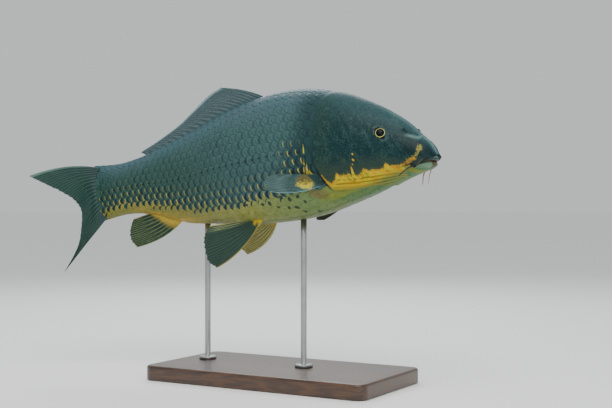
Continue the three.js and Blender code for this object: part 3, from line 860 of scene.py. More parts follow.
def mouthRings(angle):
    # key rings from the throat out over the lips, which are tubes along two half ellipses
    degrees = np.degrees(np.abs(angle))
    turn = np.where(angle < 0, -1, 1)
    isUpper, share = mouthShare(degrees)
    frontAlong, frontUp, arch, radius = (
        np.where(isUpper, *mouth[key]) for key in ("frontAlong", "frontUp", "arch", "radius")
    )
    sweep = share * math.pi / 2
    cornerAlong, cornerSide, cornerUp = mouth["corner"]
    back = 1 - np.cos(sweep)
    along = frontAlong + (cornerAlong - frontAlong) * back
    side = cornerSide * np.sin(sweep)
    up = frontUp + (cornerUp - frontUp) * back ** arch
    slopeAlong = (cornerAlong - frontAlong) * np.sin(sweep)
    slopeSide = cornerSide * np.cos(sweep)
    size = np.hypot(slopeAlong, slopeSide)
    outAlong, outSide = -slopeSide / size, slopeAlong / size
    away = np.where(isUpper, 1, -1) * (1 - share ** 4)
    radius = radius * (1 - mouth["lipTaper"] * share ** 2)

    def innerRing(ringAlong, sideShare, upShare, spread):
        ringUp = mouth["level"] + (up - mouth["level"]) * upShare + away * spread
        return np.stack([ringAlong + 0 * along, turn * side * sideShare, ringUp], -1)

    def lipRing(lipTurn):
        out = radius * math.sin(math.radians(lipTurn))
        rise = -radius * math.cos(math.radians(lipTurn)) * away
        return np.stack([along + out * outAlong, turn * (side + out * outSide), up + rise], -1)

    rimAlong = rimAlongAt(degrees)
    rimAngle = np.radians(rimDegreesAt(degrees)) * turn
    rim = outlinePlace(rimAlong, rimAngle)
    rings = [innerRing(0.06, 0.25, 0.2, 0), innerRing(0.052, 0.6, 0.6, 0.003)]
    rings.append(innerRing(np.minimum(along + 0.012, 0.05), 0.85, 1, 0.0012))
    rings.extend(lipRing(lipTurn) for lipTurn in mouth["lipTurns"])
    rings.extend([rim * 0.8 + rings[-1] * 0.2, rim])
    return rings, rimAlong, rimAngle


def skinAngles(settings):
    return roundAngles(settings["columns"], 0.5) - math.pi


def skinGrid(settings):
    # the key rings joined by Catmull-Rom curves, then rings on the body's own surface
    angle = skinAngles(settings)
    keys, rimAlong, rimAngle = mouthRings(angle)
    faceShare = np.linspace(0, 1, settings["faceRows"] + 1) ** 1.6
    faceAlong = rimAlong + (settings["faceEnd"] - rimAlong) * faceShare[:, None]
    faceAngle = rimAngle + (angle - rimAngle) * smoothStep(faceShare, 0, 1)[:, None]
    steps = settings["mouthRows"]
    keys = np.array([*keys, outlinePlace(faceAlong[steps], faceAngle[steps])])
    place = np.arange(0, (len(keys) - 2) * steps) / steps
    i = place.astype(int)
    t = (place - i)[:, None, None]
    p0, p1, p2, p3 = (keys[np.clip(i + k, 0, len(keys) - 1)] for k in (-1, 0, 1, 2))
    square = 2 * p0 - 5 * p1 + 4 * p2 - p3
    cubic = 3 * p1 - p0 - 3 * p2 + p3
    inside = 0.5 * (2 * p1 + t * (p2 - p0 + t * (square + t * cubic)))
    headAlong = np.linspace(settings["faceEnd"], settings["headEnd"], settings["headRows"] + 1)[1:]
    trunkAlong = np.linspace(settings["headEnd"], 1, settings["trunkRows"] + 1)[1:]
    bodyAlong = np.concatenate([headAlong, trunkAlong])[:, None] + 0 * angle
    along = np.vstack([faceAlong, bodyAlong])
    around = np.vstack([faceAngle, 0 * bodyAlong + angle])
    tail = np.radians(np.linspace(12, 84, settings["tailRows"]))[:, None]
    closing = outlinePlace(1 + 0 * tail * angle, 0 * tail + angle)
    closing[..., 0] += settings["tailBulge"] * np.sin(tail)
    closing[..., 1] *= np.cos(tail)
    closing[..., 2] = levelAt(1) + (closing[..., 2] - levelAt(1)) * (1 - 0.12 * (1 - np.cos(tail)))
    places = np.concatenate([inside, outlinePlace(along, around), closing])
    extra = ((len(inside), len(closing)), (0, 0))
    along, around = (np.pad(grid, extra, mode="edge") for grid in (along, around))
    mouthness = np.zeros(along.shape)
    mouthness[:len(inside)] = 1 - place[:, None] / (len(keys) - 3)
    return places, along, around, mouthness


def gridNormals(points):
    # outward normals of closed rings, from the neighbours on the grid
    around = np.roll(points, -1, axis=1) - np.roll(points, 1, axis=1)
    return unit(np.cross(around, np.gradient(points, axis=0)))


def slitDepthAt(value, low, high):
    # the gill slit deepens downward from low to high
    return skinShape["slitDepth"] * (0.55 + 0.45 * smoothStep(value, low, high))


def headRelief(along, angle, fields, settings):
    # millimetres in or out: the gill slit, the plates of the gill cover, the rim of the eye, the
    # nostrils, the folds at the snout, mouth and throat, and a faint unevenness of the bone
    degrees = fields["round"] * 180
    gill = fields["gill"]
    headInset, trunkInset = settings["headInset"], settings["trunkInset"]
    depth = slitDepthAt(degrees, 96, 118)
    filled = depth - settings["slitRest"]
    stepped = np.interp(gill, [-26, -14, -3.5, -0.9], [-0.55, -0.3, 0, 0.05])
    drop = smoothStep(gill, -0.9, 1.4) * (depth + 0.2) - smoothStep(gill, 4, 18) * filled
    stepped = np.where(gill > -0.9, 0.05 - drop, stepped - headInset)
    plain = -headInset - (trunkInset - headInset) * smoothStep(gill, -3, 6)
    relief = plain + (stepped - plain) * smoothStep(degrees, 40, 58)
    ahead = 1 - smoothStep(gill, -6, 0)
    form = headForms
    cover = distanceBehind(along, angle, preopercle)
    ridges = form["coverRidge"] * dip(cover - 1.2, 1.9) - form["coverGroove"] * dip(cover + 2.5, 3.2)
    rays = np.sin((degrees - 60) / 3.4 + cover * 0.02) * smoothStep(cover, 4, 14)
    upperPart = smoothStep(degrees, 46, 64) * (1 - smoothStep(degrees, 150, 160))
    relief = relief + ahead * upperPart * (form["coverRays"] * rays - ridges)
    folds = smoothStep(degrees, 128, 144) * smoothStep(along, 0.1, 0.15) * smoothStep(-gill, 0.8, 3)
    folds = folds * np.sin(gill * 1.15) * (1 - smoothStep(-gill, 14, 20))
    relief = relief + form["throatFolds"] * folds
    distance, below = eyeDistance(along, angle)
    relief = relief - form["socketDepth"] * (1 - smoothStep(distance, 4.5, 6.0))
    relief = relief + form["socketRim"] * dip(distance - 8.9, 1.3)
    relief = relief - form["socketGroove"] * dip(distance - 12, 1.6)
    relief = relief - form["cheekHollow"] * dip(distance - 18, 3.5) * smoothStep(below, 0, 9)
    first, second = unrolled(nostrilPlaces)
    way = unit(second - first)
    nx, ny = offsets(along, angle, (first + second) / 2)
    lengthways, sideways = nx * way[0] + ny * way[1], ny * way[0] - nx * way[1]
    gapHalf = float(np.linalg.norm(second - first)) * 500
    for sign, size in form["nostrils"]:
        hole = np.hypot(lengthways - sign * gapHalf, sideways * 0.8)
        relief = relief - size * (1 - smoothStep(hole, 0.4, 1.5)) + form["nostrilRim"] * dip(hole - 2.3, 0.8)
    flap = dip(lengthways, 1.0) * (1 - smoothStep(np.abs(sideways), 0.8, 2.4))
    relief = relief + form["nostrilFlap"] * flap
    fold = distanceBehind(along, angle, snoutFold)
    folded = form["snoutFold"] * dip(fold, 1.7) - form["snoutGroove"] * dip(fold + 3.4, 2.2)
    relief = relief + folded * (1 - smoothStep(degrees, 52, 66))
    streak = distanceBehind(along, angle, streakLine)
    relief = relief - form["muzzleGroove"] * dip(streak + 3.0, 1.1) * smoothStep(along, 0.03, 0.045)
    relief = relief + form["muzzleRidge"] * dip(streak, 2.2)
    uneven = np.sin(along * 210 + 2 * np.sin(degrees * 0.09)) * np.sin(degrees * 0.16 + along * 60)
    return relief + form["unevenness"] * uneven * ahead


def eyeDistance(along, angle):
    # millimetres from the middle of the eye over the skin, and how far below it
    x, y = offsets(along, angle, unrolled([(eyePlace["along"], math.degrees(eyeAngle))])[0])
    return np.hypot(x, y), y


def makeSkin(settings):
    places, along, angle, mouthness = skinGrid(settings)
    points = fishPoint(places[..., 0], places[..., 1], places[..., 2])
    fields = markingFields(along, angle)
    firstFace = int((mouthness[:, 0] > 0).sum())
    settle = smoothStep(np.arange(len(points))[:, None] - firstFace, 0, settings["settleRows"])
    relief = headRelief(along, angle, fields, settings) * settle * smoothStep(1 - mouthness, 0.9, 1)
    points = points + gridNormals(points) * relief[..., None] * 0.001
    isUpper, corner = mouthShare(np.degrees(np.abs(skinAngles(settings))))
    fields["mouth"] = mouthness
    fields["eye"] = eyeDistance(along, angle)[0]
    fields["lower"] = 1.0 - isUpper[None]
    fields["corner"] = corner[None]
    fields["nostril"] = np.maximum(*(spotField(along, angle, place, 1.7, 1.9) for place in nostrilPlaces))
    throat = fishPoint(mouth["throatAlong"], 0, mouth["level"])
    tail = fishPoint(1.0084, 0, levelAt(1))
    made = closedGrid("skin", points, fields, throat, tail)
    made.data.materials.append(skinSurface())
    return made


def skinSurface():
    # the markings' colour, with painted shade in the nostrils, in the gill slit and in the crease
    # round the eye, a speckled ring round the eye, a slate upper lip with a painted highlight on its
    # front and a red inner edge, a grey-green lower lip whose front is painted darker brown-olive as
    # painted shade, and a mouth that turns red-brown and then dark inside as painted shade; fine
    # pores and pits as bump
    material, nodes = newSurface("wetSkin", coat=wetness["coat"], shine=0.16)
    colour, place, middle, fine = markingColour(nodes)
    eye, gill, turned, mouthness, lower, corner = (
        field(nodes, name) for name in ("eye", "gill", "round", "mouth", "lower", "corner")
    )
    middleOff = middle - 0.5
    slit = span(gill, -0.3, 0.6, 3, 10) * fade(turned, 0.4, 0.64)
    upperTone = paint(
        blend(fade(corner, 0, 0.6), (52, 76, 78), (44, 50, 34)),
        # a painted highlight on the front of the upper lip
        (span(mouthness, 0.1, 0.14, 0.28, 0.36) * (1 - fade(corner, 0.4, 0.6)) * 0.8, (140, 166, 162)),
        (fade(mouthness, 0.46, 0.52) * span(corner, 0.05, 0.2, 0.3, 0.5) * 0.7, (120, 48, 40)),
    )
    lowerTone = paint(
        blend(corner + middleOff * 0.6, (116, 146, 124), (78, 104, 80)),
        # painted shade: the lower lip's front is darker brown-olive where it faces away from the light
        (1 - fade(corner + middleOff * 0.12, 0.1, 0.24), (84, 84, 58)),
    )
    colour = paint(
        colour,
        (span(eye, 6.4, 7.4, 8.2, 10.5) * fade(fine, 0.3, 0.6) * 0.5, (70, 90, 84)),
        # painted shade in the crease where the eyeball meets the skin
        ((1 - fade(eye, 5.9, 6.5)) * 0.9, (10, 24, 26)),
        # painted shade in the nostrils
        (field(nodes, "nostril") * 0.55, (6, 20, 22)),
        # painted shade in the gill slit, fainter along its lower part
        (slit * (0.8 - fade(turned, 0.71, 0.78) * 0.75), (14, 24, 24)),
        (fade(mouthness, 0.02, 0.14), blend(lower, upperTone, lowerTone)),
        (fade(mouthness + middleOff * 0.06, 0.5, 0.62), (128, 76, 58)),
        # painted shade deep inside the mouth
        (fade(mouthness, 0.7, 0.88), (54, 30, 26)),
    )
    pores = grain(place, 900, 2) * 0.5 + grain(place, 260) * 0.9
    roughness = wetness["roughness"] + fine * wetness["roughnessSpread"]
    connect(material, colour, roughness, pores, 0.35, 0.0006)
    return material


skin = makeSkin(skinShape)
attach(skin, "root")
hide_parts("head", "lower_jaw", "lip_upper", "lip_lower", "gill_cover_right", "gill_cover_left",
            "trunk_front", "trunk_rear", "tail_stalk")
print("skin made:", len(skin.data.polygons), "faces")


# The eyes: a ball with a flat pupil and a raised golden ring, its axis square to the cheek

eyeShape = {
    "columns": 72,
    "frontRows": 32,
    "backRows": 12,
    "pupil": 5.3,                   # millimetres from the axis
    "ring": 5.8,
    "forwardLean": 10.0,            # degrees
    "ringHeight": 0.16,             # millimetres, as are the next three
    "pupilDepth": 0.12,
    "rimStep": 0.15,
    "pupilEdge": 0.25,
}


def makeEye(name, sign, settings):
    along = np.array(eyePlace["along"])
    surface = bodyPoint(along, sign * eyeAngle)
    axis = bodyPoint(along, sign * eyeAngle, 1.0) - surface
    centre = surface - axis * (eyePlace["radius"] - eyePlace["bulge"])
    forward = unit(fishPoint(along - 0.05, 0, 0) - fishPoint(along, 0, 0))
    axis = unit(axis + forward * math.tan(math.radians(settings["forwardLean"])))
    across = unit(np.cross(axis, (0, 0, 1)))
    upward = np.cross(across, axis)
    front, back = np.linspace(1.2, 52, settings["frontRows"]), np.linspace(56, 176, settings["backRows"])
    tilt = np.radians(np.concatenate([front, back]))[:, None]
    turn = roundAngles(settings["columns"])[None]
    radius = eyePlace["radius"] * 1000
    away = radius * np.sin(tilt)
    pupil, ring = settings["pupil"], settings["ring"]
    dish = settings["ringHeight"] * dip(away - (pupil + ring) / 2, 0.4)
    dish = dish - settings["pupilDepth"] * (1 - smoothStep(away, pupil - 0.4, pupil))
    dish = dish - settings["rimStep"] * smoothStep(away, ring, ring + 0.5)
    dish = dish + settings["pupilEdge"] * dip(away, pupil * 0.9)
    length = (radius + np.where(tilt < math.pi / 2, dish, -0.2)) * 0.001
    spin = np.cos(turn)[..., None] * across + np.sin(turn)[..., None] * upward
    points = centre + length[..., None] * (np.cos(tilt)[..., None] * axis + np.sin(tilt)[..., None] * spin)
    poles = centre + axis * (radius + 0.13) * 0.001, centre - axis * eyePlace["radius"]
    return closedGrid(name, points, {"away": away}, *poles)


def eyeSurface(settings):
    # black within the pupil's radius, then a ring of two mottled golds, and dark beyond the ring
    material, nodes = newSurface("eyeball", coat=0.06, coatRoughness=0.05, shine=0.12, roughness=0.35)
    away = field(nodes, "away")
    speck = grain(objectPlace(nodes), 900)
    inner = settings["pupil"] + (speck - 0.5) * 0.3
    colour = paint(
        blend(fade(away - inner, -0.12, 0.12), (1, 10, 14), blend(speck, (234, 218, 90), (226, 230, 150))),
        (fade(away, settings["ring"] - 0.2, settings["ring"] + 0.15), (20, 30, 28)),
    )
    connect(material, colour, None, speck, 0.2, 0.0003)
    return material


eyeMaterial = eyeSurface(eyeShape)
for eyeName, eyeSign in (("right", -1), ("left", 1)):
    eyeball = makeEye("eyeball_" + eyeName, eyeSign, eyeShape)
    eyeball.data.materials.append(eyeMaterial)
    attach(eyeball, "root")
    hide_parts("eye_" + eyeName)
print("eyes made")


# The feelers: soft strands, thick at the foot and round at the tip; each has a path, a radius in
# millimetres and a share of the paler colours; the near ones, with little or none, are painted
# dark as painted shade

feelers = {
    "barbel_front_right": (
        [(0.02, -0.024, -0.058), (0.024, -0.04, -0.066), (0.034, -0.048, -0.077)], 0.8, 0.1),
    "barbel_front_left": (
        [(0.03, 0.03, -0.06), (0.062, 0.052, -0.092), (0.068, 0.05, -0.1135)], 0.8, 1.0),
    "barbel_rear_right": (
        [(0.048, -0.03, -0.073), (0.056, -0.05, -0.08), (0.077, -0.056, -0.093)], 1.2, 0.0),
    "barbel_rear_left": (
        [(0.052, 0.03, -0.073), (0.079, 0.051, -0.093), (0.083, 0.05, -0.1135)], 1.2, 1.0),
}
strand = {"rows": 40, "tipRows": 6, "columns": 20, "tipStart": 0.96, "taper": 0.55}


def makeFeeler(name, path, radius, paleness):
    # circles carried along a curve, tapering and closed by a round tip
    curve = curveThrough(fishPoint(*np.array(path).T))
    start = strand["tipStart"]
    tip = start + (1 - start) * np.sin(np.radians(np.linspace(15, 85, strand["tipRows"])))
    share = np.concatenate([np.linspace(0, start, strand["rows"]), tip])
    middle = curve(share)
    along = unit(curve(np.minimum(share + 1e-3, 1)) - curve(share - 2e-3))
    first = unit(np.cross(along, (0, 1, 0)))
    second = np.cross(along, first)
    turn = roundAngles(strand["columns"])[None, :, None]
    uneven = 1 + 0.35 * dip(share, 0.16) + 0.05 * np.sin(share * 46)
    thickness = radius * (1 - strand["taper"] * share) * uneven
    cap = np.clip((share - start) / (1 - start), 0, 1)
    thickness = (thickness * np.sqrt(np.maximum(1 - cap ** 2, 0)) * 0.001)[:, None, None]
    points = middle[:, None] + thickness * (np.cos(turn) * first[:, None] + np.sin(turn) * second[:, None])
    fields = {"share": share[:, None], "paleness": np.full((1, 1), paleness)}
    return closedGrid(name, points, fields, curve(0.0), curve(1.0))


def feelerSurface():
    # the near feelers purple-brown and dark as painted shade, the far ones reddish at the foot and pale at
    # the tip, lightly mottled
    material, nodes = newSurface("feelerSkin", coat=0.1, coatRoughness=0.2, shine=0.3)
    mottle = grain(objectPlace(nodes), 700)
    reach = fade(field(nodes, "share") + (mottle - 0.5) * 0.5, 0.1, 0.9)
    shadedTone = blend(reach, (44, 30, 34), (40, 34, 44))
    pale = blend(reach, (134, 64, 42), (176, 160, 138))
    connect(material, blend(field(nodes, "paleness"), shadedTone, pale), None, mottle, 0.3, 0.0004)
    return material


feelerMaterial = feelerSurface()
for feelerName, feelerShape in feelers.items():
    feeler = makeFeeler(feelerName.replace("barbel", "feeler"), *feelerShape)
    feeler.data.materials.append(feelerMaterial)
    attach(feeler, "root")
    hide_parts(feelerName)
print("feelers made")


# The scales: thin domed plates in alternating rows, front edge in the skin and rear edge free

scaleCoat = {
    "firstAlong": 0.265,
    "step": 0.0255,
    "stepLoss": 1.21e-4,
    "columns": (-6, 35),
    "rowsPerSide": 9,               # rows from the lateral line up to the back
    "lastRow": 16,
    "widestAlong": 0.465,
    "rowThinning": 0.32,
    "gillGap": 4.5,                 # millimetres behind the edge of the gill cover
    "overlap": 1.95,                # length of a plate in steps
    "breadth": 1.22,                # width of a plate in rows
    "frontLift": -1.5,              # millimetres from the body's outline
    "rearLift": -0.5,
    "crown": 0.2,
    "rim": 0.3,
    "calm": 0.5,                    # share of the relief kept on the belly and along the back
    "cellsLong": 6,
    "cellsWide": 6,
    "turnSpread": 0.035,
    "sizeSpread": 0.025,
    "liftSpread": 0.07,
    "frontPart": 0.5,               # where the front pieces end, along the body
}


def scalePlaces(settings):
    # rows are counted from the lateral line at half the half girth; every other row is set back
    # by half a step, and a place is kept only behind the edge of the gill cover
    perSide, widestAlong = settings["rowsPerSide"], settings["widestAlong"]
    rows, columns = np.arange(-perSide, settings["lastRow"]), np.arange(*settings["columns"])
    row, column = (grid.ravel() for grid in np.meshgrid(rows, columns, indexing="ij"))
    count = column + 0.5 * (row % 2)
    along = settings["firstAlong"] + settings["step"] * count - settings["stepLoss"] * count * np.abs(count)
    onBody = np.clip(along, 0.05, 1)
    half = halfGirthAt(onBody)
    widest = halfGirthAt(widestAlong) / 2 / perSide
    thinned = widest * (1 - settings["rowThinning"] * (along - widestAlong) / (1 - widestAlong))
    pitch = np.where(along < widestAlong, half / 2 / perSide, thinned)
    arc = half / 2 + row * pitch
    kept = (arc > -0.3 * pitch) & (arc < half - 0.2 * pitch) & (along > 0.12) & (along < 0.992)
    kept &= distanceBehind(onBody, angleAt(onBody, arc), gillEdge) > settings["gillGap"]
    step = settings["step"] - 2 * settings["stepLoss"] * count
    return [values[kept] for values in (along, arc, pitch, step, row)]


def scaleTemplate(settings):
    # a grid over the plate, its rim one ring lower, and one wide face underneath
    long, wide = settings["cellsLong"], settings["cellsWide"]
    p, q = np.meshgrid(np.linspace(0, 1, long + 1), np.linspace(-1, 1, wide + 1), indexing="ij")
    index = np.arange(p.size).reshape(p.shape)
    top = np.stack([index[:-1, :-1], index[:-1, 1:], index[1:, 1:], index[1:, :-1]], -1).reshape(-1, 4)
    ring = np.concatenate([index[0, :-1], index[:-1, -1], index[-1, :0:-1], index[:0:-1, 0]])
    lower = p.size + np.arange(len(ring))
    rim = np.stack([np.roll(ring, -1), ring, lower, np.roll(lower, -1)], -1)
    floor = np.stack([np.roll(lower, -1), lower, np.full(len(ring), p.size + len(ring))], -1)
    allP, allQ = (np.append(grid.ravel(), grid.ravel()[ring]) for grid in (p, q))
    drop = np.concatenate([np.zeros(p.size), np.ones(len(ring) + 1)])
    return np.append(allP, 0.5), np.append(allQ, 0.0), drop, np.vstack([top, rim]), floor


def plateCells(along, row, p, q, drop):
    # the bake map: every plate has a cell of its own, in the order of its place on the body
    number = len(along)
    rank = np.empty(number, int)
    rank[np.lexsort((along, row))] = np.arange(number)
    across = math.ceil(math.sqrt(number))
    cell = np.stack([rank % across, rank // across], -1)[:, None] / across
    inner = np.stack([0.5 + q * 0.36, 0.12 + 0.76 * p], -1)
    inner[drop > 0] = (inner[drop > 0] - 0.5) * 1.14 + 0.5
    return cell + inner / across


def makeScales(name, places, settings, keep, side):
    along, arc, pitch, step, row = [values[keep] for values in places]
    number = len(along)
    p, q, drop, quads, triangles = scaleTemplate(settings)
    tilt = randomness.normal(0, settings["turnSpread"], number)[:, None]
    size = 1 + randomness.normal(0, settings["sizeSpread"], number)[:, None]
    lift = randomness.normal(0, settings["liftSpread"], number)[:, None]
    length = (step * body["length"] * settings["overlap"])[:, None] * size
    half = (pitch * settings["breadth"] / 2)[:, None] * size
    narrow = np.where(p > 0.5, np.sqrt(1 - 0.5 * ((p - 0.5) / 0.5) ** 2.6), 1 - 0.25 * (1 - p / 0.5) ** 2)
    rear = 1 - 0.3 * np.abs(q) ** 2.2
    x = (p * rear - 0.55) * length
    y = q * narrow * half
    turnedX = x * np.cos(tilt) - y * np.sin(tilt)
    turnedY = x * np.sin(tilt) + y * np.cos(tilt)
    pointAlong = np.clip(along[:, None] + turnedX / body["length"], 0.02, 1.012)
    shift = np.clip(pointAlong, 0.02, 1)
    share = (arc / halfGirthAt(along))[:, None]
    angle = side * angleAt(shift, share * halfGirthAt(shift) + turnedY)
    fields = markingFields(shift, angle)
    gill, turned = fields["gill"], fields["round"]
    frontLift, rearLift, crown = settings["frontLift"], settings["rearLift"], settings["crown"]
    height = frontLift + (rearLift - frontLift) * (p * rear) ** 0.85
    height = height + crown * (1 - q ** 2) * (0.4 + 0.6 * p) - crown * 0.6
    height = height + lift - drop * settings["rim"] * (0.5 + 0.5 * p)
    calm = np.maximum(smoothStep(fields["flank"], -4, 10), 1 - smoothStep(turned, 0.06, 0.3))
    level = (frontLift + rearLift) / 2 - 0.05
    height = level + (height - level) * (1 - (1 - settings["calm"]) * calm)
    # near the gill cover the plates follow the skin down into the slit and under its edge
    trench = (1 - smoothStep(gill, 4, 18)) * (slitDepthAt(turned, 0.53, 0.66) - skinShape["slitRest"])
    height = height - smoothStep(turned, 0.22, 0.32) * trench - 1.4 * (1 - smoothStep(gill, -1, 4))
    points = bodyPoint(pointAlong, angle, height * 0.001)
    onBody = np.clip(along, 0.05, 1)
    rootFields = markingFields(onBody, side * angleAt(onBody, arc))
    fields["rootFlank"] = rootFields["flank"][:, None]
    fields["gold"] = rootFields["gold"][:, None]
    fields["round"] = rootFields["round"][:, None]
    fields["scaleLong"] = p
    fields["scaleWide"] = q
    fields["scaleTone"] = randomness.random(number)[:, None]
    fields["lateral"] = (row == 0)[:, None]
    flat = {}
    for key, values in fields.items():
        flat[key] = values if values.ndim == 3 else np.broadcast_to(values, points.shape[:2])
    base = (np.arange(number) * len(p))[:, None, None]
    mapped = plateCells(along, row, p, q, drop)
    groups = [(quads + base).reshape(-1, 4), (triangles + base).reshape(-1, 3)]
    maps = [mapped[:, quads].reshape(-1, 4, 2), mapped[:, triangles].reshape(-1, 3, 2)]
    return addPiece(name, points, groups, maps, flat)


def scaleSurface():
    # a plate has a navy bar across its middle and a thin olive dash before its free edge, gold by
    # the shoulder and toward the flank line, and a painted shadow along its free edge and its sides;
    # the flank line, shifted over each plate, ends them in a row of tapering dark teeth; growth rings,
    # rays and noise as bump
    material, nodes = newSurface("scaleCoat", coat=wetness["coat"], shine=0.17)
    long, wide, own, gold, flank, lateral = (
        field(nodes, name) for name in ("scaleLong", "scaleWide", "scaleTone", "gold", "flank", "lateral")
    )
    across = abs(wide)
    degrees = field(nodes, "round") * 180
    near = fade(field(nodes, "rootFlank"), -55, -6)
    shift = abs(long - 0.72) * 44 - 6.5 + (across - 0.35) * 4 + (own - 0.5) * 5
    colour, place, _, fine = markingColour(nodes, shift)
    above = 1 - fade(flank + shift, -2, 2)
    bar = span(long, 0.54, 0.66, 0.74, 0.85) * (1 - fade(across, 0.6, 1.05)) * above * fade(degrees, 24, 70)
    dashHalf = near * 0.016 + 0.012
    line = abs(long * (1 - across * across * 0.2) + wide * 0.04 - 0.885)
    dash = (1 - fade(line, dashHalf, dashHalf + 0.02)) * (1 - fade(across, 0.75, 1.05)) * above
    seen = (fade(degrees, 40, 115) * 0.4 + near * 0.7 + 0.1) * (0.55 + own * 0.45)
    seen = seen.maths("MAXIMUM", seen, fade(gold, 0.02, 0.3) * (0.3 + own * 0.9))
    dashTone = blend(fade(gold + near * 0.45, 0.05, 0.6), (76, 86, 54), (188, 168, 70))
    # a painted shadow along the plate's free edge and its sides
    shade = (fade(long, 0.965, 1.0) * 0.6 + fade(across, 0.78, 1.0) * 0.35) * above * fade(degrees, 30, 80)
    pore = lateral * (1 - fade(across, 0.08, 0.2)) * span(long, 0.6, 0.68, 0.82, 0.9)
    colour = paint(
        colour,
        (bar * (0.34 + own * 0.3 + near * 0.36), (5, 24, 34)),
        (dash * seen * fade(fine, 0.2, 0.45), dashTone),
        (shade, (10, 20, 22)),
        (pore * 0.6, (8, 14, 16)),
    )
    height = sine(long * 95) * 0.25 + sine(wide * 34) * 0.12 + grain(place, 800, 2) * 0.7
    roughness = wetness["roughness"] + fine * wetness["roughnessSpread"]
    connect(material, colour, roughness, height, 0.25, 0.0004)
    return material


scaleMaterial = scaleSurface()
allPlaces = scalePlaces(scaleCoat)
onRidge = allPlaces[1] < 0.3 * allPlaces[2]
isFront = allPlaces[0] < scaleCoat["frontPart"]
scaleParts = (
    ("scales_right_front", isFront, -1), ("scales_right_rear", ~isFront, -1),
    ("scales_left_front", isFront & ~onRidge, 1), ("scales_left_rear", ~isFront & ~onRidge, 1),
)
for partName, partKeep, partSide in scaleParts:
    part = makeScales(partName, allPlaces, scaleCoat, partKeep, partSide)
    part.data.materials.append(scaleMaterial)
    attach(part, "root")
    print(partName, "has", int(partKeep.sum()), "scales")


# The fins: fans of branching rays with a thin skin between them

